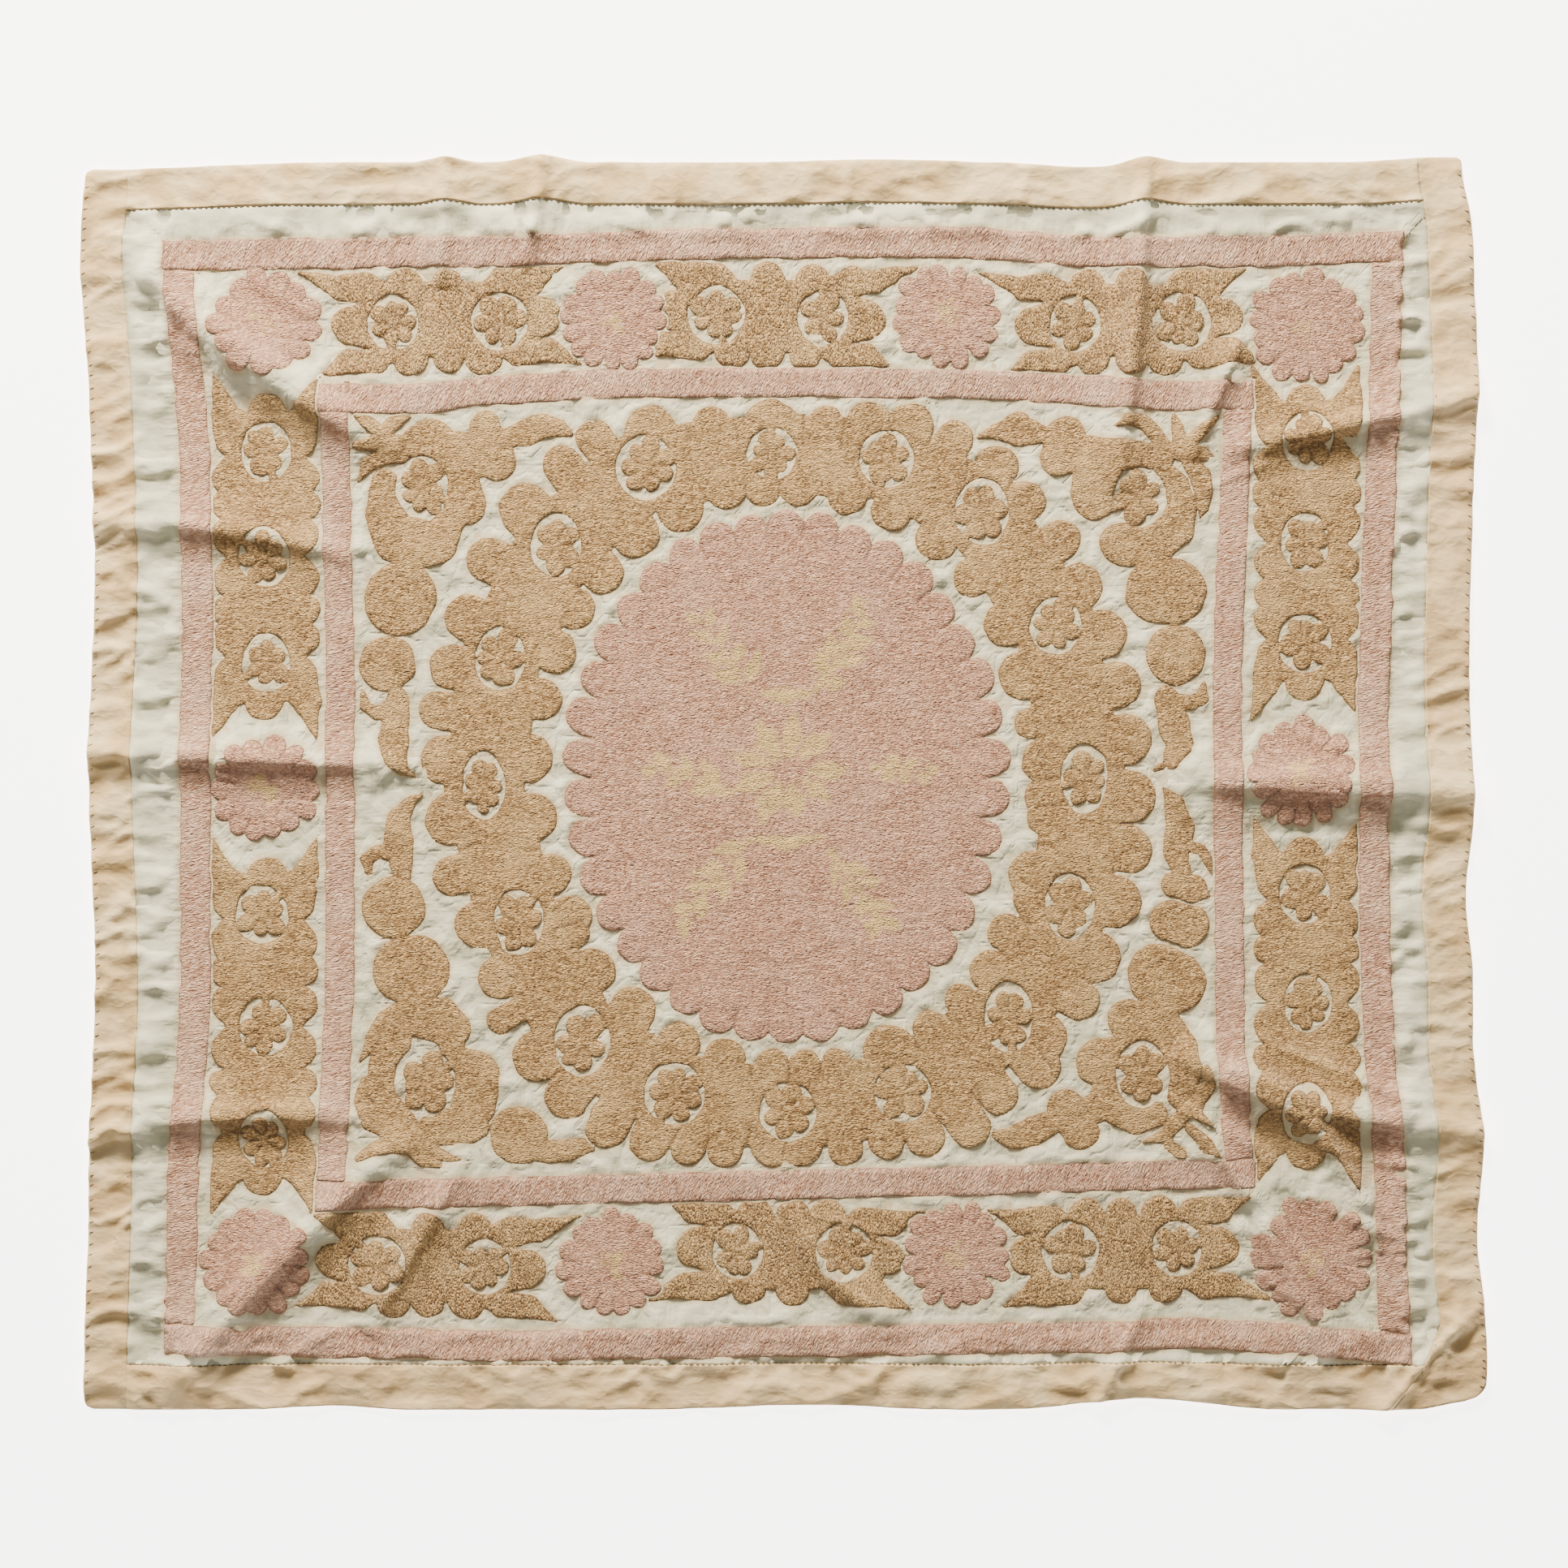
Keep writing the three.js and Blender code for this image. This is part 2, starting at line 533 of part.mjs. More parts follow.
const spray = ({ flipX, flipY }) => threadField(SPRAY_LOBES.map(({ x0, y0, r0, x1, y1, r1 }) =>
  lobe({ x0: flipX * x0, y0: flipY * y0, r0, x1: flipX * x1, y1: flipY * y1, r1 })));

const rosette = ({ x, y }) => threadField([scalloped({
  x, y, across: ROSETTE.radius, up: ROSETTE.radius, lobes: ROSETTE.petals, depth: ROSETTE.depth,
})]);

// The whole cloth.
const tablecloth = new THREE.Group();

function addPiece(name, solid, material) {
  const { vertProperties, triVerts } = solid.getMesh();
  const geometry = new THREE.BufferGeometry();
  geometry.setAttribute('position', new THREE.BufferAttribute(new Float32Array(vertProperties), 3));
  geometry.setIndex(new THREE.BufferAttribute(new Uint32Array(triVerts), 1));
  geometry.computeVertexNormals();
  const mesh = new THREE.Mesh(geometry, material);
  mesh.name = name;
  tablecloth.add(mesh);
}

addPiece('ground_panel', groundPanel(), COLOURS.ground);
addPiece('strip_left', leftStrip(), COLOURS.strip);
addPiece('strip_right', rightStrip(), COLOURS.strip);
addPiece('strip_top', topStrip(), COLOURS.strip);
addPiece('strip_bottom', bottomStrip(), COLOURS.strip);
FRAMES.flatMap(frameBars).forEach(([name, bar]) => addPiece(name, bar, COLOURS.pink));
addPiece('medallion', threadField([scalloped(MEDALLION)]), COLOURS.pink);
ROSETTES.forEach((row) => addPiece(row.name, rosette(row), COLOURS.pink));
for (let quarter = 0; quarter < WREATH.quarters; quarter += 1) {
  addPiece(`wreath_quarter_${quarter + 1}`, wreathQuarter(quarter), COLOURS.sand);
}
BLOCKS.forEach((row) => addPiece(row.name, block(row), COLOURS.sand));
SPRAYS.forEach((row) => addPiece(row.name, spray(row), COLOURS.sand));

export default tablecloth;
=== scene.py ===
# %% [markdown]
# # An embroidered tablecloth, laid out flat
# The real cloth is a pale ground panel with four cream strips sewn round it. Thick coloured thread is laid
# over it and couched down: two pink frames, a scalloped medallion, a wreath, rosettes, border blocks and
# corner sprays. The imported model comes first, because it fixes the size and the place of every piece.

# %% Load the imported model
import json
import math

import bpy
import numpy as np
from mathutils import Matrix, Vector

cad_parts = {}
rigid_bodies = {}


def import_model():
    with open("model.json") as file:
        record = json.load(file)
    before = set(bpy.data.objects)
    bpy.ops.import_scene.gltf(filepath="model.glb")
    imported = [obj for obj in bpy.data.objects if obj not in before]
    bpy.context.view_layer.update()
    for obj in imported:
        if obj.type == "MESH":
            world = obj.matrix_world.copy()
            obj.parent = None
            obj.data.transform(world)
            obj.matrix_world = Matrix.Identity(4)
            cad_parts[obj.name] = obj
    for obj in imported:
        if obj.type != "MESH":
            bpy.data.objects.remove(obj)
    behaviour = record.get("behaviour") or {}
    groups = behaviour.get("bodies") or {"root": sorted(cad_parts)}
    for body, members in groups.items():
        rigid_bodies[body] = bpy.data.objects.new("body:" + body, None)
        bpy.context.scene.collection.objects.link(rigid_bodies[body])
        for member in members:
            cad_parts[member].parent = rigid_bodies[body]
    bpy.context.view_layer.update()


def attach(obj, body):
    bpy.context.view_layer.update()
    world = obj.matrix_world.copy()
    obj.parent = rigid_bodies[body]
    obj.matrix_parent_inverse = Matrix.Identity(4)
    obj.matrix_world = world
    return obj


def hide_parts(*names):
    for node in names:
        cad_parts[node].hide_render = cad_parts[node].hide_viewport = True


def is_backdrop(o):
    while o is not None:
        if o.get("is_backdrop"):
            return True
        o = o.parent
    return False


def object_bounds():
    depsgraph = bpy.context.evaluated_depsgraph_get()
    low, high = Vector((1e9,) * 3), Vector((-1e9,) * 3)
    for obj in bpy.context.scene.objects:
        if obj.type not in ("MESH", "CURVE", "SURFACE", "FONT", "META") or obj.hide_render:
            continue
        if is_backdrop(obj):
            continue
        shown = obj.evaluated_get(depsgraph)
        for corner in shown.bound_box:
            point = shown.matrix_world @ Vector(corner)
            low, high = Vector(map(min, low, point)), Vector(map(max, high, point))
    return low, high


for start_up in list(bpy.data.objects):
    bpy.data.objects.remove(start_up)
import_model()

# %% [markdown]
# ## The camera
# The cloth was photographed from straight above. A long lens at a good distance keeps the folds from
# leaning outwards, and it is set first. A camera looks along its own -Z, so one that isn't turned looks
# straight down.

# %% Camera
scene = bpy.context.scene
MM = 0.001
FRAME_WIDTH = 1.681
lens = bpy.data.cameras.new("overhead")
lens.lens, lens.sensor_width = 100, 36
camera = bpy.data.objects.new("overhead", lens)
camera.location = (0, 0, FRAME_WIDTH * lens.lens / lens.sensor_width)
scene.collection.objects.link(camera)
scene.camera = camera
print("camera height in metres:", round(camera.location.z, 3))

# %% [markdown]
# ## One working grid
# The whole cloth is described on one fine grid of places, in millimetres. Any shape is a field over it: a
# number that is above 0 inside the shape, and that says how far inside. Fields are easy to join with a
# maximum and to cut with a minimum, which is how lobes of thread meet with the sharp little notches that
# the real ones have.

# %% Working grid, smooth noise and look-ups
STEP = 2.2
XS = np.arange(-800, 800.1, STEP)
YS = np.arange(-720, 720.1, STEP)
GX, GY = np.meshgrid(XS, YS)


def soft_noise(x, y, across, up, seed, turn=0.0):
    """Smooth noise from -1 to 1, with bumps about as wide as across and up, turned by an angle in degrees."""
    c, s = math.cos(math.radians(turn)), math.sin(math.radians(turn))
    p, q = (x * c + y * s) / across, (y * c - x * s) / up
    i, j = np.floor(p).astype(int), np.floor(q).astype(int)
    u, v = p - i, q - j
    u, v = u * u * (3 - 2 * u), v * v * (3 - 2 * v)
    table = np.random.default_rng(seed).uniform(-1, 1, (256, 256))

    def at(a, b):
        return table[(i + a) & 255, (j + b) & 255]

    return (at(0, 0) * (1 - u) + at(1, 0) * u) * (1 - v) + (at(0, 1) * (1 - u) + at(1, 1) * u) * v


def creased(across, up, seed, turn=0.0):
    """Sharp little crests from -1 to 1 over the working grid, with soft hollows between them."""
    x = GX + 0.3 * across * soft_noise(GX, GY, 45, 45, seed + 200)
    y = GY + 0.5 * up * soft_noise(GX, GY, 45, 45, seed + 300)
    return 0.5 - 2 * np.abs(soft_noise(x, y, across, up, seed, turn))


def lookup(grid, x, y):
    """The value of a grid between its places."""
    p = np.clip((np.asarray(x) - XS[0]) / STEP, 0, len(XS) - 1.001)
    q = np.clip((np.asarray(y) - YS[0]) / STEP, 0, len(YS) - 1.001)
    i, j = p.astype(int), q.astype(int)
    u, v = p - i, q - j
    low = grid[j, i] * (1 - u) + grid[j, i + 1] * u
    high = grid[j + 1, i] * (1 - u) + grid[j + 1, i + 1] * u
    return low * (1 - v) + high * v


def smooth(value, start, end):
    """0 up to start, 1 from end, and a soft step between them."""
    share = np.clip((value - start) / (end - start), 0, 1)
    return share * share * (3 - 2 * share)


print("working grid:", GX.shape, "places", STEP, "mm apart")

# %% [markdown]
# ## Drawing with tapered strokes
# Hand embroidery like this is drawn in lobes, leaves and discs. Each is one stroke here: a line from one
# place to another with a radius at either end, 0 for a point. Only the part of the grid near a stroke is
# worked out, which keeps hundreds of strokes quick. A slight wobble of the grid keeps every edge as
# unsteady as a hand leaves it.

# %% Strokes on the grid
WOBBLE_X = 1.3 * soft_noise(GX, GY, 15, 15, 3) + 0.5 * soft_noise(GX, GY, 6, 6, 5)
WOBBLE_Y = 1.3 * soft_noise(GX, GY, 15, 15, 4) + 0.5 * soft_noise(GX, GY, 6, 6, 6)
DRAWN_X, DRAWN_Y = GX + WOBBLE_X, GY + WOBBLE_Y
OUTSIDE = -60.0


def blank():
    return np.full(GX.shape, OUTSIDE)


def beside(x0, y0, x1, y1, reach):
    """The part of the grid round a line, how far along the line its places are, and how far away."""
    i0, i1 = np.searchsorted(XS, [min(x0, x1) - reach, max(x0, x1) + reach])
    j0, j1 = np.searchsorted(YS, [min(y0, y1) - reach, max(y0, y1) + reach])
    x, y = DRAWN_X[j0:j1, i0:i1] - x0, DRAWN_Y[j0:j1, i0:i1] - y0
    dx, dy = x1 - x0, y1 - y0
    along = np.clip((x * dx + y * dy) / max(dx * dx + dy * dy, 1e-6), 0, 1)
    return (slice(j0, j1), slice(i0, i1)), along, np.hypot(x - dx * along, y - dy * along)


def stroke(field, x0, y0, r0, x1, y1, r1, margin=24):
    """Adds a stroke to a field."""
    part, along, away = beside(x0, y0, x1, y1, max(r0, r1) + margin)
    field[part] = np.maximum(field[part], r0 + (r1 - r0) * along - away)


def strokes(field, rows):
    for row in rows:
        stroke(field, *row)
    return field


def groove(field, x0, y0, x1, y1):
    """Presses a narrow line into a shape, as between two leaves of it, without opening its outline."""
    part, _, away = beside(x0, y0, x1, y1, 8)
    pressed = np.minimum(field[part], np.maximum(0.15, away - 0.3))
    field[part] = np.where(field[part] > 0.15, pressed, field[part])


def path(field, places):
    """Adds a line of strokes through places, each with its radius there. One place alone is a disc."""
    after = places[1:] or [(places[0][0] + 0.1, *places[0][1:])]
    for here, there in zip(places, after):
        stroke(field, *here, *there)


def area(field):
    """The area inside a shape, in square metres."""
    return round(float((field > 0).sum()) * (STEP * MM) ** 2, 4)


print("largest wobble in mm:", round(float(np.abs(WOBBLE_X).max()), 2))

# %% [markdown]
# ## The flat cloth and how it lies
# The panel and its strips were cut nearly straight, but the cloth lies with its edges strayed a few
# millimetres in and out. Each stray is a soft bump along an edge, and it moves the cloth less and less
# towards the middle. The numbers are those of the solid model, so that the dressed cloth fits it.

# %% Plan of the cloth
CLOTH = {"left": -745, "right": 738, "bottom": -670, "top": 666}
SEAM = {"left": -700, "right": 691, "bottom": -623, "top": 622}
EDGE_BOWS = {
    "left": [(566, 9, 150), (235, -7, 210), (-205, -7, 230), (-640, 5, 200)],
    "right": [
        (660, -12, 80), (440, 5, 150), (140, -4, 190), (-122, -8, 90), (-390, 11, 120), (-620, 15, 200),
    ],
    "bottom": [(-490, -4, 90), (20, -5, 160), (385, -12, 150), (730, -10, 70)],
    "top": [
        (-740, -8, 260), (-362, 5, 38), (-258, 7, 52), (100, 3, 140), (317, -5, 90), (389, 6, 45),
        (720, 6, 110),
    ],
}
SWAY_DEPTH = {"left": 330, "right": 330, "bottom": 70, "top": 150}


def bump(distance, reach):
    share = np.minimum(np.abs(distance) / reach, 1)
    return (1 - share) ** 2 * (1 + 2 * share)


def sway(edge, distance, place):
    bow = sum(out * bump(place - at, reach) for at, out, reach in EDGE_BOWS[edge])
    return bow * bump(np.maximum(distance, 0), SWAY_DEPTH[edge])


def laid(u, v):
    """Where a place of the flat cloth lies."""
    x = u + sway("right", CLOTH["right"] - u, v) - sway("left", u - CLOTH["left"], v)
    y = v + sway("top", CLOTH["top"] - v, u) - sway("bottom", v - CLOTH["bottom"], u)
    return x, y


print("a corner of the flat cloth lies at", [round(float(c), 1) for c in laid(-745.0, 666.0)])

# %% [markdown]
# ## Rosettes
# A rosette is a ring of narrow petals that are stitched from the middle outwards, so each petal is one
# stroke that widens to a round tip. The number of petals, their reach and their turn differ a little from
# one to the next.

# %% Rosettes
ROSETTES = {
    "rosette_top_left": (-556, 494, 60, 13), "rosette_top_mid_left": (-184, 499, 56, 16),
    "rosette_top_mid_right": (173, 503, 57, 15), "rosette_top_right": (560, 490, 62, 16),
    "rosette_left": (-556, -6, 57, 14), "rosette_right": (552, 11, 59, 15),
    "rosette_bottom_left": (-564, -511, 60, 15), "rosette_bottom_mid_left": (-185, -514, 57, 15),
    "rosette_bottom_mid_right": (185, -505, 59, 15), "rosette_bottom_right": (564, -508, 64, 16),
}
chance = np.random.default_rng(20)
pink_fields, sand_fields = {}, {}
for name, (x, y, radius, petals) in ROSETTES.items():
    field = blank()
    turn = chance.uniform(0, 6.28)
    angles = [turn + 2 * math.pi * (k + chance.uniform(-0.12, 0.12)) / petals for k in range(petals)]
    even = 2 * math.pi * radius / petals * 0.44
    for angle in angles:
        wide = even * chance.uniform(0.82, 1.12)
        reach = radius * chance.uniform(0.92, 1.08) - wide
        stroke(field, x, y, 8, x + reach * math.cos(angle), y + reach * math.sin(angle), wide)
    for angle, after in zip(angles, angles[1:] + [angles[0] + 2 * math.pi]):
        c, s = math.cos((angle + after) / 2), math.sin((angle + after) / 2)
        deep = radius * chance.uniform(0.5, 0.95)
        groove(field, x + radius * c, y + radius * s, x + deep * c, y + deep * s)
    pink_fields[name] = field
print("rosettes:", len(pink_fields))

# %% [markdown]
# ## The medallion
# The medallion is made as a big rosette on an ellipse, with 38 scallops. Its strokes are so wide near the
# middle that they fill it.

# %% Medallion
MEDALLION = {"x": 2, "y": 7, "across": 241, "up": 286, "lobes": 38, "radius": 20.5}
medallion = blank()
for k in range(MEDALLION["lobes"]):
    angle = 2 * math.pi * (k + 0.5) / MEDALLION["lobes"]
    wide = MEDALLION["radius"] * chance.uniform(0.94, 1.06)
    trim = wide + chance.uniform(-2, 3)
    stroke(
        medallion, MEDALLION["x"], MEDALLION["y"], 34,
        MEDALLION["x"] + (MEDALLION["across"] - trim) * math.cos(angle),
        MEDALLION["y"] + (MEDALLION["up"] - trim) * math.sin(angle), wide,
    )
for k in range(MEDALLION["lobes"]):
    c, s = (turn(2 * math.pi * k / MEDALLION["lobes"]) for turn in (math.cos, math.sin))
    deep = chance.uniform(14, 34)
    groove(
        medallion, MEDALLION["x"] + MEDALLION["across"] * c, MEDALLION["y"] + MEDALLION["up"] * s,
        MEDALLION["x"] + (MEDALLION["across"] - deep) * c, MEDALLION["y"] + (MEDALLION["up"] - deep) * s,
    )
pink_fields["medallion"] = medallion
print("medallion covers", area(medallion), "square metres")

# %% [markdown]
# ## The two frames
# Each frame is four straight bands. The worker's lines drift a little, so the outer side of each band is
# given at some places along it, and the inner side keeps the band's width. The side bands are cut where
# they meet the others, as on the cloth, where the direction of the stitches changes there.

# %% Frames
OUTER_FRAME = {
    "width": 32.5,
    "top": [
        (-664, 582), (-457, 585), (-301, 587), (-92, 595), (117, 597), (221, 595), (325, 586), (534, 587),
        (663, 593),
    ],
    "bottom": [
        (-664, -610), (-470, -614), (-301, -618), (-92, -615), (117, -612), (325, -609), (430, -604),
        (560, -612), (672, -622),
    ],
    "left": [
        (-664, 582), (-664, 545), (-655, 449), (-647, 353), (-644, 162), (-647, 66), (-647, -221),
        (-652, -317), (-660, -412), (-664, -611),
    ],
    "right": [
        (663, 592), (660, 449), (656, 353), (651, 210), (647, 66), (649, -170), (656, -317), (665, -412),
        (670, -618),
    ],
}
INNER_FRAME = {
    "width": 31,
    "top": [
        (-497, 428), (-380, 428), (-332, 436), (-199, 444), (0, 446), (200, 444), (330, 437), (420, 431),
        (503, 433),
    ],
    "bottom": [(-501, -456), (-300, -452), (0, -445), (250, -439), (504, -432)],
    "left": [(-496, 430), (-495, 318), (-491, 144), (-491, -203), (-498, -377), (-501, -456)],
    "right": [(502, 433), (498, 318), (491, 144), (490, 57), (494, -290), (504, -432)],
}


def line_through(points, axis):
    """The place across a band's line, for each place along it."""
    ordered = np.array(sorted(points, key=lambda point: point[axis]), float)
    where = DRAWN_X if axis == 0 else DRAWN_Y
    ahead = np.linspace(ordered[0, axis] - 40, ordered[-1, axis] + 40, 400)
    line = np.interp(ahead, ordered[:, axis], ordered[:, 1 - axis])
    even = np.convolve(np.pad(line, 12, mode="edge"), np.hanning(25) / np.hanning(25).sum(), "valid")
    return np.interp(where, ahead, even)


def band(points, axis, inwards, width):
    """A band whose outer side is the given line. inwards is 1 or -1, the way to its inner side."""
    outside = line_through(points, axis)
    depth = ((DRAWN_Y if axis == 0 else DRAWN_X) - outside) * inwards
    ends = [point[axis] for point in points]
    where = DRAWN_X if axis == 0 else DRAWN_Y
    return np.minimum.reduce([depth, width - depth, where - min(ends), max(ends) - where])


def frame_bands(name, spec):
    width = spec["width"]
    top, bottom = band(spec["top"], 0, -1, width), band(spec["bottom"], 0, 1, width)
    left, right = band(spec["left"], 1, 1, width), band(spec["right"], 1, -1, width)
    free = np.minimum(-top, -bottom) - 0.5
    pink_fields[name + "_top"], pink_fields[name + "_bottom"] = top, bottom
    pink_fields[name + "_left"] = np.minimum(left, free)
    pink_fields[name + "_right"] = np.minimum(right, free)


frame_bands("outer_frame", OUTER_FRAME)
frame_bands("inner_frame", INNER_FRAME)
pink_cover = np.maximum.reduce(list(pink_fields.values()))
print("pink pieces:", len(pink_fields), "covering", area(pink_cover), "square metres")

# %% [markdown]
# ## Flowers in openings
# The sand-coloured shapes have round openings where the ground shows, each with a small flower of a few
# round petals in it, tied to the rim by a stem. An opening is cut with a minimum, and its flower is added
# afterwards. Most flowers are turned or mirrored versions of one plan with small differences, as the real
# ones are.

# %% Openings and their flowers
FLOWER = [
    (0, 2, 7, 0, 15, 8.2), (-3, 3, 5, -13, 9, 7.2), (3, 3, 5, 13, 8, 7.4), (-3, -3, 5, -14, -5, 6.8),
    (3, -3, 5, 14, -6, 7), (-2, -6, 5, -7, -16, 6.8), (2, -6, 5, 8, -16, 6.6),
]
CURLED_FLOWER = [
    (0, 0, 9, 2, 13, 10), (-3, 2, 7, -14, 7, 7.6), (-3, -3, 7, -12.5, -10.5, 8), (3, -4, 7, 5, -15, 8.4),
    (6, 1, 6, 15.5, 3, 7.4), (5, -3, 5, 15, -8, 5.6),
]
PLAIN_FLOWER = [
    (0, 0, 9, 0, 15, 8), (0, 0, 9, 13, 8, 7.8), (0, 0, 9, 13, -8, 7.8), (0, 0, 9, 0, -15, 8),
    (0, 0, 9, -13, -8, 7.8), (0, 0, 9, -13, 8, 7.8),
]
PLANS = [FLOWER, CURLED_FLOWER, PLAIN_FLOWER]
FLOWER_RADIUS, OPENING_MARGIN = 23.5, 2.2


def opening(field, x, y, across, up, plan, turn, stem, mirror=1):
    """Cuts an oval opening and puts a flower in it. turn and stem are angles in degrees."""
    inside = min(across, up) * (1 - np.hypot((DRAWN_X - x) / across, (DRAWN_Y - y) / up))
    np.minimum(field, -inside, out=field)
    wide, tall = ((size - OPENING_MARGIN) / FLOWER_RADIUS for size in (across, up))
    grow = (wide + tall) / 2
    c, s = math.cos(math.radians(turn)), math.sin(math.radians(turn))

    def place(px, py):
        return x + (mirror * px * c - py * s) * wide, y + (mirror * px * s + py * c) * tall

    for x0, y0, r0, x1, y1, r1 in PLANS[plan]:
        own = chance.uniform(0.86, 1.1)
        stroke(field, *place(x0, y0), r0 * grow * own, *place(x1 * own, y1 * own), r1 * grow * own, margin=6)
    tips = sorted((row[3:5] for row in PLANS[plan]), key=lambda tip: math.atan2(tip[1], tip[0]))
    for (x0, y0), (x1, y1) in zip(tips, tips[1:] + tips[:1]):
        between = place((x0 + x1) * 0.62, (y0 + y1) * 0.62)
        groove(field, *place((x0 + x1) * 0.2, (y0 + y1) * 0.2), *between)
    sx, sy = math.cos(math.radians(stem)), math.sin(math.radians(stem))
    stroke(field, x + 8 * sx, y + 8 * sy, 5, x + across * 1.1 * sx, y + up * 1.1 * sy, 4.2, margin=6)


print("flower plans:", len(PLANS))

# %% [markdown]
# ## The wreath
# Sixteen openings go round the medallion, each as wide and as tall as its own flower needs. A band runs
# from one to the next, and round lobes stand out from it on both sides. A lobe is a stroke from the nearest
# place on the band.

# %% Wreath
WREATH_OPENINGS = [
    (-13, 354, 27, 28), (110, 348, 30, 31), (212, 292, 29, 36), (291, 170, 28, 31), (322, 6, 25, 37),
    (306, -131, 27, 35),
    (240, -250, 26, 38), (127, -331, 30, 31), (4, -351, 31, 31), (-117, -332, 33, 33), (-216, -275, 30, 38),
    (-284, -148, 26, 35), (-322, -2, 23, 36), (-304, 134, 27, 34), (-244, 256, 27, 34), (-148, 339, 32, 35),
]
OUTER_LOBES = [
    (-203, 370, 20), (-143, 377, 28), (-78, 384, 20), (-14, 384, 29), (44, 386, 20), (92, 384, 26),
    (135, 383, 25),
    (183, 371, 20), (228, 340, 23), (257, 302, 23), (297, 262, 21), (316, 212, 25), (340, 160, 27),
    (357, 106, 25),
    (366, 48, 28), (370, -14, 29), (370, -70, 25), (355, -126, 28), (334, -186, 27), (316, -231, 22),
    (276, -272, 27),
    (272, -302, 25), (230, -334, 21), (200, -368, 22), (152, -378, 21), (110, -384, 19), (66, -390, 19),
    (16, -384, 26),
    (-12, -384, 26), (-64, -392, 19), (-103, -390, 19), (-144, -382, 22), (-190, -368, 23),
    (-232, -334, 25),
    (-264, -292, 27), (-304, -254, 14), (-304, -207, 24), (-328, -151, 25), (-354, -98, 22),
    (-357, -37, 28),
    (-362, 26, 27), (-371, 79, 20), (-355, 125, 25), (-338, 178, 25), (-316, 240, 24), (-276, 294, 29),
    (-238, 342, 21),
]
INNER_LOBES = [
    (-24, 318, 20), (16, 318, 21), (68, 309, 21), (116, 294, 23), (164, 262, 23), (203, 222, 22),
    (238, 171, 24),
    (255, 116, 25), (264, 65, 17), (277, 24, 23), (281, -14, 24), (284, -34, 24), (266, -98, 26),
    (268, -122, 24),
    (238, -159, 20), (221, -200, 22), (190, -232, 18), (157, -262, 20), (112, -284, 27), (56, -298, 16),
    (22, -302, 17),
    (-12, -300, 18), (-64, -294, 22), (-112, -277, 23), (-162, -242, 25), (-204, -200, 24),
    (-228, -142, 23),
    (-228, -158, 20), (-250, -97, 23), (-270, -36, 27), (-274, 28, 26), (-261, 91, 23), (-245, 142, 23),
    (-224, 187, 22),
    (-196, 227, 24), (-160, 269, 26), (-111, 294, 25), (-62, 316, 22),
]
WREATH_X, WREATH_Y = 2, -2
BAND_RADIUS = 43
wreath = blank()
band_line = np.array([place[:2] for place in WREATH_OPENINGS + WREATH_OPENINGS[:1]], float)
legs = np.diff(band_line, axis=0)
for (x0, y0), (x1, y1) in zip(band_line, band_line[1:]):
    stroke(wreath, x0, y0, BAND_RADIUS, x1, y1, BAND_RADIUS)
for x, y, radius in OUTER_LOBES + INNER_LOBES:
    share = np.clip(((np.array((x, y)) - band_line[:-1]) * legs).sum(1) / (legs**2).sum(1), 0, 1)
    feet = band_line[:-1] + legs * share[:, None]
    foot = feet[np.argmin(np.hypot(feet[:, 0] - x, feet[:, 1] - y))]
    path(wreath, [(*foot, radius), (x, y, radius)])
for lobes in (OUTER_LOBES, INNER_LOBES):
    for (x0, y0, r0), (x1, y1, r1) in zip(lobes, lobes[1:] + lobes[:1]):
        x, y = (x0 * r1 + x1 * r0) / (r0 + r1), (y0 * r1 + y1 * r0) / (r0 + r1)
        ahead = math.atan2(y - WREATH_Y, x - WREATH_X) + chance.uniform(-0.25, 0.25)
        out = 14 if lobes is OUTER_LOBES else -14
        deep = -chance.uniform(12, 30) if lobes is OUTER_LOBES else chance.uniform(10, 22)
        c, s = math.cos(ahead), math.sin(ahead)
        groove(wreath, x + out * c, y + out * s, x + deep * c, y + deep * s)
for k, (x, y, across, up) in enumerate(WREATH_OPENINGS):
    stem = math.degrees(math.atan2(y, x)) + (180 if k % 3 else 0) + chance.uniform(-40, 40)
    turned = chance.uniform(-40, 40) + 180 * (k % 2)
    opening(wreath, x, y, across, up, k % 3, turned, stem, 1 if k % 4 < 2 else -1)
sand_fields["wreath"] = wreath
print("wreath covers", area(wreath), "square metres")

# %% [markdown]
# ## Border blocks
# A block in the top and bottom borders has two openings with a bar between them, a round lobe at each end,
# and a pointed leaf at each corner. Its strokes are written once, from the middle of a block, and mirrored
# for some. The blocks at the sides stand upright and have three openings, so theirs are built up from one
# unit.

# %% Blocks
PAIR_BLOCK = [
    (-50, -5, 37, 62, -3, 40), (-95, -8, 21, -60, -6, 30), (110, 2, 20, 70, 0, 32),
    (-81, 33, 16, -106, 33, 13), (-106, 33, 13, -157, 51, 0), (-81, 33, 16, -52, 20, 14),
    (-38, 33, 20, -42, 4, 24), (9.5, 36, 17.5, 10, -42, 17.5), (-20, 0, 37, 36, 0, 37),
    (36, 14, 10, 66, 37, 16.5), (66, 37, 16.5, 97, 40, 16), (97, 40, 16, 138, 58, 0),
    (-68, -46, 14, -97, -47, 13.5), (-97, -47, 13.5, -128, -63, 0), (-68, -44, 13, -50, -30, 16),
    (-31, -42, 19, -36, -10, 24), (47, -41, 19, 46, -8, 24), (66, 20, 14, 92, 20, 14),
    (84, -37, 15, 117, -34, 13.5), (117, -34, 13.5, 154, -48, 0), (84, -36, 15, 66, -18, 20),
]
PAIR_OPENINGS = [(-50, -5, 27.5, 29.5), (64, -3, 31, 31)]
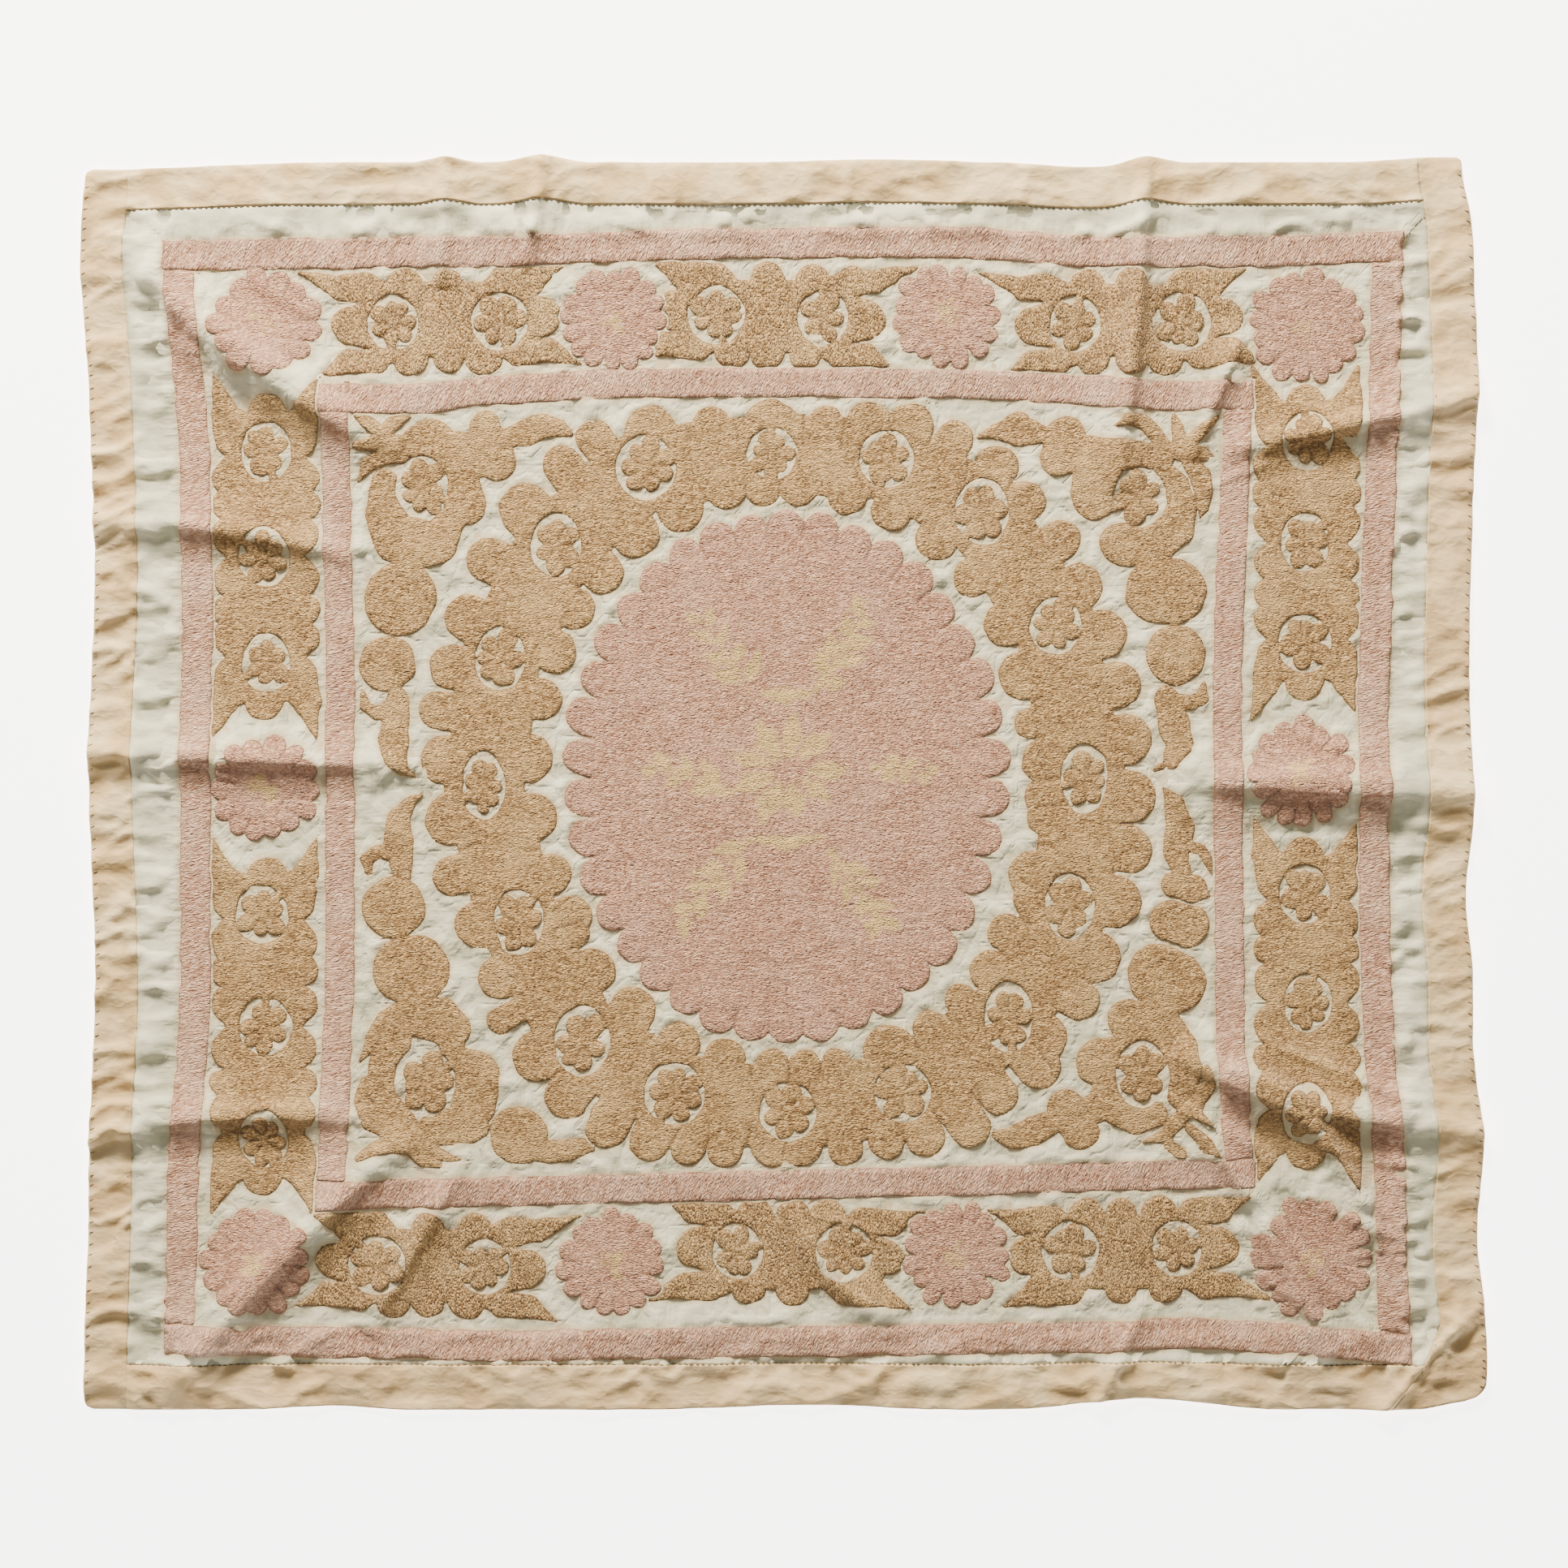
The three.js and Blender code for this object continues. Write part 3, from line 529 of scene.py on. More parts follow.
PAIR_BLOCKS = {
    "block_top_left": (-369, 499, 1, 1), "block_top_middle": (-8, 505, -1, 1),
    "block_top_right": (362, 498, 1, 1), "block_bottom_left": (-371, -512, -1, 1),
    "block_bottom_middle": (0, -505, 1, -1), "block_bottom_right": (371, -503, -1, -1),
}
for number, (name, (x, y, flip_x, flip_y)) in enumerate(PAIR_BLOCKS.items()):
    field = blank()
    for x0, y0, r0, x1, y1, r1 in PAIR_BLOCK:
        grow = chance.uniform(0.94, 1.06)
        start = (x + flip_x * x0, y + flip_y * y0, r0 * grow)
        stroke(field, *start, x + flip_x * x1, y + flip_y * y1, r1 * grow)
    for k, (px, py, across, up) in enumerate(PAIR_OPENINGS):
        turned, stem = chance.uniform(0, 360), chance.uniform(0, 360)
        opening(field, x + flip_x * px, y + flip_y * py, across, up, (number + 2 * k) % 3, turned, stem)
    sand_fields[name] = field

TRIPLE_BLOCKS = {
    "block_left_upper": (-555, 243, 113), "block_left_lower": (-557, -260, 120),
    "block_right_upper": (560, 259, 108), "block_right_lower": (560, -235, 117),
}
for number, (name, (x, y, pitch)) in enumerate(TRIPLE_BLOCKS.items()):
    field = blank()
    stroke(field, x, y - pitch, 39, x, y + pitch, 39)
    for k in (-1, 0, 1):
        for side in (-1, 1):
            for up in (-1, 1):
                wide = 21 * chance.uniform(0.92, 1.08)
                lean = 0.24 if k else 0.2
                stroke(field, x, y + k * pitch, 30, x + side * (57 - wide), y + (k + lean * up) * pitch, wide)
    for k in (-0.5, 0.5):
        wide = 15 * chance.uniform(0.95, 1.15)
        stroke(field, x - 42, y + k * pitch, wide, x + 42, y + k * pitch, wide)
    for end in (-1, 1):
        last = y + end * pitch
        stroke(field, x, last, 34, x + chance.uniform(-4, 4), last + end * 40, 21)
        for side in (-1, 1):
            stroke(field, x + side * 34, last + end * 14, 21, x + side * 44, last + end * 42, 15)
            tip = x + side * chance.uniform(56, 61)
            stroke(field, x + side * 44, last + end * 42, 15, tip, last + end * 84, 0)
    for k in (-1, 0, 1):
        opening(
            field, x + chance.uniform(-3, 3), y + k * pitch, 27.5 * chance.uniform(0.93, 1.04), 31.5,
            (number + k) % 3, chance.uniform(0, 360), chance.uniform(0, 360), 1 if k else -1,
        )
    sand_fields[name] = field
print("sand pieces so far:", list(sand_fields))

# %% [markdown]
# ## Corner sprays
# Each inner corner is filled by a spray: a flower head with an opening, leaves towards the corner, two
# discs below it and a comma-shaped bud. The four are drawn one by one, because no two are alike on the
# cloth.

# %% Sprays
SPRAYS = {
    "spray_top_left": [
        [(-382, 362, 27), (-378, 366, 26)], [(-320, 383, 17), (-318, 356, 27), (-308, 346, 22)],
        [(-376, 356, 22), (-330, 352, 24)],
        [(-300, 369, 11), (-276, 376, 14), (-258, 384, 13), (-240, 381, 9), (-219, 371, 0)],
        [(-350, 326, 22), (-341, 300, 22.5)],
        [(-428, 324, 14), (-430, 292, 19), (-416, 263, 25), (-392, 257, 27), (-373, 258, 23),
         (-354, 286, 15)], [(-412, 197, 38), (-410, 201, 38)],
        [(-425, 129, 30)], [(-452, 98, 3), (-450, 84, 6), (-438, 76, 7), (-424, 80, 10)],
        [(-414, 90, 13), (-418, 50, 17), (-415, 28, 13), (-408, 15, 7), (-392, 6, 0)],
        [(-463, 400, 1), (-446, 388, 7), (-430, 374, 8)],
        [(-426, 378, 8), (-414, 389, 8), (-395, 398, 1)], [(-463, 361, 3), (-440, 364, 9), (-405, 362, 12)],
        [(-456, 324, 1), (-447, 341, 8), (-430, 350, 9), (-410, 352, 10)],
    ],
    "spray_top_right": [
        [(207, 370, 1), (228, 378, 9), (250, 380, 18), (266, 377, 13), (286, 373, 8)],
        [(302, 373, 21), (294, 350, 20.5), (312, 354, 20)],
        [(312, 356, 18), (350, 352, 18), (404, 352, 14)],
        [(353, 383, 1), (368, 390, 7), (385, 388, 8), (398, 375, 8), (406, 362, 9)],
        [(424, 364, 8), (421, 382, 7), (418, 396, 3)], [(430, 362, 8), (450, 381, 7), (468, 398, 0)],
        [(420, 357, 9), (448, 352, 8), (461, 350, 2)],
        [(404, 340, 9), (421, 322, 13), (427, 298, 16), (420, 272, 19), (400, 261, 23), (366, 256, 24),
         (358, 258, 20)],
        [(434, 346, 8), (446, 330, 11), (450, 312, 9), (449, 296, 6), (444, 284, 0)],
        [(336, 336, 26), (333, 308, 25)],
        [(400, 207, 35), (418, 206, 35)], [(419, 138, 32)],
        [(449, 106, 3), (447, 93, 7), (436, 88, 8), (422, 88, 9)],
        [(410, 92, 13), (418, 62, 18), (424, 42, 14), (414, 26, 9), (397, 14, 1)],
    ],
    "spray_bottom_left": [
        [(-385, -8, 0), (-399, -17, 5), (-413, -37, 13), (-413, -59, 16), (-410, -82, 13), (-409, -98, 9)],
        [(-446, -93, 4), (-447, -80, 7), (-435, -72, 7), (-420, -72, 10)],
        [(-419, -132, 33), (-416, -132, 32)],
        [(-405, -199, 36), (-396, -199, 37)],
        [(-455, -298, 1), (-441, -273, 9), (-424, -255, 14), (-400, -250, 21), (-370, -252, 24),
         (-358, -262, 22), (-356, -280, 14)],
        [(-414, -274, 15), (-430, -296, 15), (-433, -322, 15), (-423, -344, 14), (-404, -364, 12)],
        [(-344, -308, 24), (-330, -312, 26), (-332, -344, 24)],
        [(-372, -367, 19), (-338, -364, 22)],
        [(-450, -316, 4), (-453, -340, 8), (-441, -359, 12), (-415, -370, 15), (-392, -374, 13)],
        [(-457, -401, 3), (-440, -391, 7), (-418, -385, 10), (-398, -388, 10), (-386, -402, 8),
         (-370, -408, 4)],
        [(-392, -384, 9), (-364, -398, 6), (-342, -404, 0)], [(-285, -376, 31)],
        [(-268, -392, 10), (-250, -394, 12), (-232, -393, 12), (-210, -387, 8), (-188, -381, 0)],
    ],
    "spray_bottom_right": [
        [(406, 0, 0), (419, -23, 11), (424, -46, 16), (419, -73, 14), (428, -98, 9)],
        [(428, -66, 6), (447, -71, 6), (455, -84, 5), (458, -98, 0)],
        [(417, -108, 14), (438, -112, 15), (458, -121, 0)], [(414, -147, 22), (433, -152, 23)],
        [(401, -204, 33), (418, -212, 34)],
        [(369, -253, 23), (402, -258, 24), (424, -285, 20), (430, -310, 16), (424, -334, 13)],
        [(360, -296, 26), (337, -298, 25)],
        [(350, -330, 22), (358, -346, 20), (378, -357, 19), (398, -354, 14)],
        [(302, -346, 20), (318, -372, 20)], [(320, -352, 16), (352, -340, 16)],
        [(290, -360, 12), (266, -372, 16), (245, -380, 12), (213, -371, 0)],
        [(450, -303, 4), (454, -321, 8), (441, -342, 10), (424, -357, 9), (408, -377, 8), (382, -385, 0)],
        [(438, -350, 8), (463, -369, 0)], [(434, -368, 5), (452, -387, 8), (467, -399, 0)],
        [(413, -386, 7), (425, -397, 6)],
    ],
}
SPRAY_OPENINGS = {
    "spray_top_left": (-388, 318, 28, 34, 0, 10, -25),
    "spray_top_right": (381, 307, 28, 32, 1, 170, 200),
    "spray_bottom_left": (-382, -321, 30, 35, 1, 215, 35),
    "spray_bottom_right": (383, -311, 28, 36, 2, 0, 160),
}
CLEARANCE = 2.2
for name, lines in SPRAYS.items():
    field = blank()
    for places in lines:
        path(field, places)
    opening(field, *SPRAY_OPENINGS[name])
    sand_fields[name] = field
for name, field in sand_fields.items():
    sand_fields[name] = np.minimum(field, -pink_cover - CLEARANCE)
for name in list(sand_fields)[1:]:
    sand_fields[name] = np.minimum(sand_fields[name], -sand_fields["wreath"] - CLEARANCE)
sand_cover = np.maximum.reduce(list(sand_fields.values()))
cover = np.maximum(pink_cover, sand_cover)
print("thread covers", area(cover), "square metres")

# %% [markdown]
# ## How the cloth stands up
# The long creases come from the solid model: each has a crest that runs past a bend, and the cloth falls
# away from it on both sides. They could be simulated, but a cloth that was pressed, stored and laid out
# again keeps creases where it was folded, and a drape over a flat table gives none. So they are drawn.

# %% Creases
FOLDS = [
    ((-640, 486), (-550, 446), (-440, 350), 9, 36, 40),
    ((-800, 282), (-600, 286), (-450, 238), 13, 52, 44), ((-800, 36), (-600, 28), (-385, 18), 14, 60, 42),
    ((-800, -392), (-600, -335), (-440, -364), 13, 60, 42),
    ((-716, 592), (-660, 484), (-408, 358), 19, 70, 54),
    ((-670, -665), (-545, -500), (-390, -370), 19, 70, 52),
    ((-446, -590), (-392, -490), (-336, -396), 11, 48, 36),
    ((-366, 530), (-362, 610), (-362, 720), 9, 30, 28), ((-276, 550), (-260, 620), (-257, 730), 10, 34, 32),
    ((355, 310), (386, 500), (388, 730), 13, 48, 32), ((436, 346), (462, 410), (494, 490), 10, 32, 28),
    ((470, 356), (610, 380), (790, 430), 16, 54, 40), ((410, 3), (580, 0), (800, -14), 21, 72, 60),
    ((476, -262), (575, -300), (700, -350), 6, 26, 22), ((416, -284), (530, -362), (800, -376), 19, 60, 46),
    ((470, -300), (600, -352), (636, -505), 15, 30, 46),
    ((426, -346), (528, -462), (600, -666), 14, 46, 34),
    ((134, -570), (40, -560), (0, -430), 9, 38, 32), ((320, -696), (352, -630), (390, -550), 8, 34, 28),
    ((624, -700), (684, -604), (770, -540), 8, 24, 20), ((-150, -590), (-60, -560), (40, -580), 4, 26, 20),
]
CREST_STEPS = 10


def crease(height, start, bend, end, top, left, right):
    """Adds a crease to a height grid. left and right are its reaches, as seen from the start of the crest."""
    start, bend, end = (np.array(place) for place in (start, bend, end))
    share = np.linspace(0, 1, CREST_STEPS + 1)[:, None]
    crest = start * (1 - share) ** 2 + bend * 2 * share * (1 - share) + end * share**2
    reach = max(left, right)
    low, high = crest.min(0) - reach, crest.max(0) + reach
    i0, i1 = np.searchsorted(XS, [low[0], high[0]])
    j0, j1 = np.searchsorted(YS, [low[1], high[1]])
    x, y = GX[j0:j1, i0:i1], GY[j0:j1, i0:i1]
    best, place, on_left = np.full(x.shape, 1e9), np.zeros(x.shape), np.zeros(x.shape, bool)
    for k in range(CREST_STEPS):
        (ax, ay), (bx, by) = crest[k], crest[k + 1]
        dx, dy = bx - ax, by - ay
        t = np.clip(((x - ax) * dx + (y - ay) * dy) / (dx * dx + dy * dy), 0, 1)
        px, py = x - ax - dx * t, y - ay - dy * t
        distance = np.hypot(px, py)
        nearer = distance < best
        best = np.where(nearer, distance, best)
        place = np.where(nearer, (k + t) / CREST_STEPS, place)
        on_left = np.where(nearer, dx * py - dy * px > 0, on_left)
    along = np.sqrt(np.clip(np.sin(np.pi * place), 0, 1))
    height[j0:j1, i0:i1] += top * along * bump(best, np.where(on_left, left, right))


folded = np.zeros(GX.shape)
for start, bend, end, top, left, right in FOLDS:
    crease(folded, start, bend, end, 0.8 * top, left, right)
    crease(folded, start, bend, end, 0.55 * top, 0.42 * left, 0.36 * right)
print("highest crease in mm:", round(float(folded.max()), 1))

# %% [markdown]
# ## Wrinkles of the rim
# The strips and the bare ground beside them are thin and loose, so they wrinkle most, across the strip at
# the sides and at a slant at the top and bottom. The noise is folded, by its distance from 0, into sharp
# crests. Thread stiffens the cloth, so little of this is left under it.

# %% Wrinkles of the rim
open_ground = smooth(-cover, -1, 3)
rim = smooth(np.maximum(np.abs(GX + 4) - 640, np.abs(GY) - 575), 2, 20)
at_side = smooth(np.abs(GX + 4) - np.abs(GY) - 60, -30, 30)
side_strip = smooth(np.maximum(SEAM["left"] - GX, GX - SEAM["right"]), -26, 2)
end_strip = smooth(np.maximum(SEAM["bottom"] - GY, GY - SEAM["top"]), -22, 2) * (1 - 0.6 * side_strip)
calm = 1 - 0.45 * (GX > 0) * side_strip - 0.35 * (GY > 0) * end_strip
beside_strip = (1 - side_strip) * rim * at_side
above_strip = (1 - end_strip) * rim * (1 - at_side)
wrinkles = side_strip * calm * (5.0 * creased(88, 30, 33, 14) + 2.4 * creased(42, 15, 34, 26))
wrinkles += end_strip * calm * (4.0 * creased(76, 34, 35, 20) + 2.2 * creased(38, 17, 36, -18))
wrinkles += beside_strip * (7.0 * creased(90, 24, 44, 8) + 2.4 * creased(38, 12, 45, -8))
wrinkles += above_strip * (7.5 * creased(66, 36, 46, 22) + 2.6 * creased(32, 16, 47, -14))
wrinkles *= 1 - 0.7 * smooth(cover, -4, 6)
wrinkles += 1.5 * soft_noise(GX, GY, 95, 80, 31) + 0.7 * soft_noise(GX, GY, 38, 30, 32, 20)
wrinkles += (1 - rim) * smooth(-cover, 0, 9) * 1.8 * creased(40, 24, 48, 35)
print("wrinkles up to", round(float(wrinkles.max()), 1), "mm high")

# %% [markdown]
# ## Drag lines and gathers
# A drag line is a short low crease where the cloth is pulled at a slant, mostly near a corner. Gathers are
# a row of them, where a side strip was sewn on a little tighter than the ground. Both are made as the long
# creases are. The gathers come at uneven places, from seeded chance.

# %% Drag lines and gathers
DRAG_LINES = [
    ((-470, -20), (-430, -44), (-400, -62), 2.4, 9, 7), ((-455, -60), (-440, -30), (-446, 12), 2.0, 8, 7),
    ((-590, -655), (-470, -640), (-330, -648), 2.0, 9, 7),
    ((-300, -636), (-200, -644), (-80, -640), 1.6, 8, 6),
    ((-60, -650), (60, -640), (190, -650), 1.8, 9, 7), ((230, -640), (330, -655), (430, -640), 2.2, 9, 7),
    ((470, -640), (560, -650), (650, -640), 2.0, 9, 7), ((-560, 628), (-480, 640), (-380, 632), 1.6, 9, 7),
    ((420, 610), (470, 634), (540, 626), 1.8, 8, 7), ((560, 640), (620, 630), (690, 644), 1.6, 8, 7),
    ((-380, 610), (-300, 640), (-270, 655), 1.6, 8, 6), ((452, -420), (470, -470), (520, -520), 2.6, 10, 8),
    ((470, -500), (540, -540), (600, -600), 3.0, 12, 8),
    ((-640, -585), (-610, -560), (-570, -520), 3.0, 12, 9),
    ((-660, 470), (-600, 455), (-560, 440), 2.2, 10, 8), ((520, 70), (560, 40), (640, 30), 2.4, 12, 9),
    ((500, -60), (560, -50), (640, -70), 2.0, 11, 9), ((240, 300), (262, 326), (300, 336), 2.0, 10, 8),
    ((430, 300), (470, 330), (520, 340), 2.4, 11, 8), ((130, -500), (80, -470), (20, -460), 2.0, 9, 8),
    ((396, -330), (440, -352), (500, -392), 4.0, 14, 10),
    ((470, -360), (520, -400), (560, -452), 4.5, 16, 11),
    ((500, -430), (560, -520), (640, -600), 5.0, 16, 11),
    ((520, -420), (600, -470), (700, -500), 3.5, 14, 10),
    ((560, -380), (640, -410), (730, -420), 3.5, 15, 10),
    ((600, -560), (640, -610), (664, -660), 3.5, 12, 9),
    ((640, -640), (676, -610), (700, -560), 4.0, 12, 9),
    ((690, -650), (716, -600), (728, -540), 3.0, 12, 9),
    ((560, -650), (600, -640), (636, -652), 2.6, 9, 7), ((100, -612), (180, -622), (260, -612), 2.4, 9, 7),
    ((-640, -600), (-600, -612), (-540, -606), 2.6, 10, 8),
    ((-560, -640), (-520, -600), (-470, -580), 3.0, 12, 9),
    ((-740, 320), (-700, 300), (-640, 296), 3.0, 13, 9),
    ((-740, -330), (-690, -318), (-640, -322), 3.0, 13, 9),
    ((-740, -60), (-700, -48), (-650, -52), 2.4, 12, 9), ((640, 330), (690, 350), (740, 352), 3.5, 14, 10),
    ((640, 470), (690, 462), (740, 470), 2.6, 12, 9), ((650, -40), (700, -46), (745, -58), 3.0, 13, 9),
    ((640, -240), (690, -262), (740, -262), 3.0, 14, 10),
    ((-640, 470), (-610, 400), (-560, 360), 3.4, 14, 10),
    ((-600, 560), (-560, 530), (-500, 500), 2.4, 14, 10), ((60, 610), (72, 640), (70, 664), 2.2, 12, 9),
    ((676, -640), (704, -632), (740, -640), 3.2, 9, 7), ((690, -600), (712, -606), (736, -618), 3.0, 9, 7),
    ((664, -656), (680, -640), (690, -622), 3.0, 8, 6), ((700, -560), (716, -576), (738, -584), 3.0, 9, 7),
    ((698, -520), (716, -530), (738, -528), 2.6, 9, 7), ((380, -400), (430, -404), (466, -396), 2.6, 9, 7),
    ((300, -404), (350, -398), (400, -404), 2.2, 8, 6), ((440, -340), (462, -372), (470, -412), 3.0, 9, 7),
    ((452, -262), (470, -290), (474, -330), 2.4, 9, 7), ((-120, 600), (-112, 636), (-118, 664), 2.0, 12, 9),
    ((240, 596), (262, 630), (258, 664), 2.4, 12, 9),
]
for start, bend, end, top, left, right in DRAG_LINES:
    crease(wrinkles, start, bend, end, top, left, right)
gather = np.random.default_rng(49)
GATHERS = [
    (-664, SEAM["left"], 23, 3.8), (SEAM["left"], -742, 38, 2.6),
    (656, SEAM["right"], 23, 3.8), (SEAM["right"], 736, 38, 1.4),
]
for x0, x1, gap, top in GATHERS:
    y = -600
    while y < 606:
        y += gap * gather.uniform(0.45, 1.4)
        slant, high = gather.uniform(-8, 12), top * gather.uniform(0.5, 1.1)
        wide = gather.uniform(8, 14)
        crease(wrinkles, (x0, y), ((x0 + x1) / 2, y + slant), (x1, y + slant), high, wide, 0.8 * wide)
print("drag lines:", len(DRAG_LINES))

# %% [markdown]
# ## Puckers and the whole surface
# Between the threads the ground is drawn in, and its puckers run straight away from the thread. They come
# from noise that is smeared along the slope of the field that says how far the thread is. Then everything
# is added up. The cloth can't pass through the table, so the surface bends softly towards it instead of
# crossing it, and where creases cross, their height is eased off. Last, each place is compared with the
# mean round it, which tells the materials where the hollows are, for the painted shade in them.

# %% Puckers and the whole surface
SMEAR_STEPS, SMEAR_STEP = 6, 2.6
BASE_HEIGHT, RIM_RISE = 1.6, 3.4
EASED_FROM, EASED_OVER = 21, 8
HOLLOW_DEPTH = 2.4
slope_y, slope_x = np.gradient(cover, STEP)
steep = np.maximum(np.hypot(slope_x, slope_y), 0.2)
slope_x, slope_y = slope_x / steep, slope_y / steep
grain = soft_noise(GX, GY, 10, 10, 41) + 0.8 * soft_noise(GX, GY, 17, 17, 42)
smeared = np.zeros(GX.shape)
for direction in (-1, 1):
    x, y = GX.copy(), GY.copy()
    for _ in range(SMEAR_STEPS):
        smeared += lookup(grain, x, y) / (2 * SMEAR_STEPS)
        sx, sy = lookup(slope_x, x, y), lookup(slope_y, x, y)
        x, y = x + direction * SMEAR_STEP * sx, y + direction * SMEAR_STEP * sy
crumple = 1.3 * (1 - np.abs(soft_noise(GX, GY, 26, 20, 43, 30)) * 2) * smooth(-cover, 2, 12) * (1 - rim)
puckers = open_ground * (4.8 * smeared * (1 - smooth(-cover, 13, 22)) + crumple)
surface = folded + wrinkles + puckers + BASE_HEIGHT + RIM_RISE * rim
surface = 0.5 * (surface + np.sqrt(surface**2 + 1.5))
eased = EASED_FROM + EASED_OVER * np.tanh((surface - EASED_FROM) / EASED_OVER)
surface = np.where(surface > EASED_FROM, eased, surface)
# How far each place lies below the mean round it: the materials paint shade into these hollows.
ease = np.hanning(19) / np.hanning(19).sum()
even = np.apply_along_axis(np.convolve, 1, surface, ease, "same")
even = np.apply_along_axis(np.convolve, 0, even, ease, "same")
sunken = np.clip((even - surface) / HOLLOW_DEPTH, -1, 1)
print("surface from", round(float(surface.min()), 2), "to", round(float(surface.max()), 2), "mm")

# %% [markdown]
# ## Building meshes from arrays
# Each piece has tens of thousands of faces, so they go into Blender as whole arrays. A piece keeps its
# object at the origin and its place in its mesh, so that it stays in the solid model's frame. Values such
# as how far a place is from the edge of the thread go in as attributes, for the materials.

# %% Mesh helper
pieces = {}


def add_piece(name, points, faces, **attributes):
    """Makes a mesh object from points in millimetres and a list of arrays with one face in a row."""
    faces = [np.asarray(group, np.int32) for group in faces if len(group)]
    mesh = bpy.data.meshes.new(name)
    mesh.vertices.add(len(points))
    mesh.vertices.foreach_set("co", (np.asarray(points, np.float32) * MM).ravel())
    sizes = np.concatenate([np.full(len(group), group.shape[1], np.int32) for group in faces])
    starts = np.concatenate([[0], np.cumsum(sizes)[:-1]]).astype(np.int32)
    loops = np.concatenate([group.ravel() for group in faces])
    mesh.loops.add(len(loops))
    mesh.loops.foreach_set("vertex_index", loops)
    mesh.polygons.add(len(sizes))
    mesh.polygons.foreach_set("loop_start", starts)
    mesh.polygons.foreach_set("use_smooth", np.ones(len(sizes), bool))
    mesh.update(calc_edges=True)
    mesh.validate()
    for key, values in attributes.items():
        mesh.attributes.new(key, "FLOAT", "POINT").data.foreach_set("value", np.asarray(values, np.float32))
    piece = bpy.data.objects.new(name, mesh)
    scene.collection.objects.link(piece)
    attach(piece, "root")
    pieces[name] = piece
    return piece


def triangles(piece):
    mesh = piece.data
    counts = np.empty(len(mesh.polygons), np.int32)
    mesh.polygons.foreach_get("loop_total", counts)
    return int((counts - 2).sum())


print("mesh helper ready")

# %% [markdown]
# ## From a field to a raised piece of thread
# The grid is walked cell by cell. A cell that is wholly inside gives a square, and one that the outline
# crosses gives the part of it that is inside, with new corners where the field is 0. From each of those
# corners a short wall goes down to the cloth. Thread is thickest a few millimetres in from its edge, and it
# is a little lumpy.

# %% Thread pieces
PANEL = 1.3
LIFT = {"edge": 0.6, "full": 2.0}
CELL_FACES = {
    1: [(0, 4, 7)], 2: [(1, 5, 4)], 3: [(0, 1, 5, 7)], 4: [(2, 6, 5)], 5: [(0, 4, 7), (2, 6, 5)],
    6: [(1, 2, 6, 4)], 7: [(0, 1, 2, 6, 7)], 8: [(3, 7, 6)], 9: [(0, 4, 6, 3)],
    10: [(1, 5, 4), (3, 7, 6)], 11: [(0, 1, 5, 6, 3)],
    12: [(2, 3, 7, 5)], 13: [(0, 4, 5, 2, 3)], 14: [(1, 2, 3, 7, 4)], 15: [(0, 1, 2, 3)],
}
rows_of_thread = 0.42 * soft_noise(GX, GY, 17, 5.2, 51, 8) + 0.22 * soft_noise(GX, GY, 9, 9, 52)
columns_of_thread = 0.42 * soft_noise(GX, GY, 5.2, 17, 53, 10) + 0.22 * soft_noise(GX, GY, 9, 9, 54)
lumps_of_thread = 0.3 * soft_noise(GX, GY, 9, 9, 55)


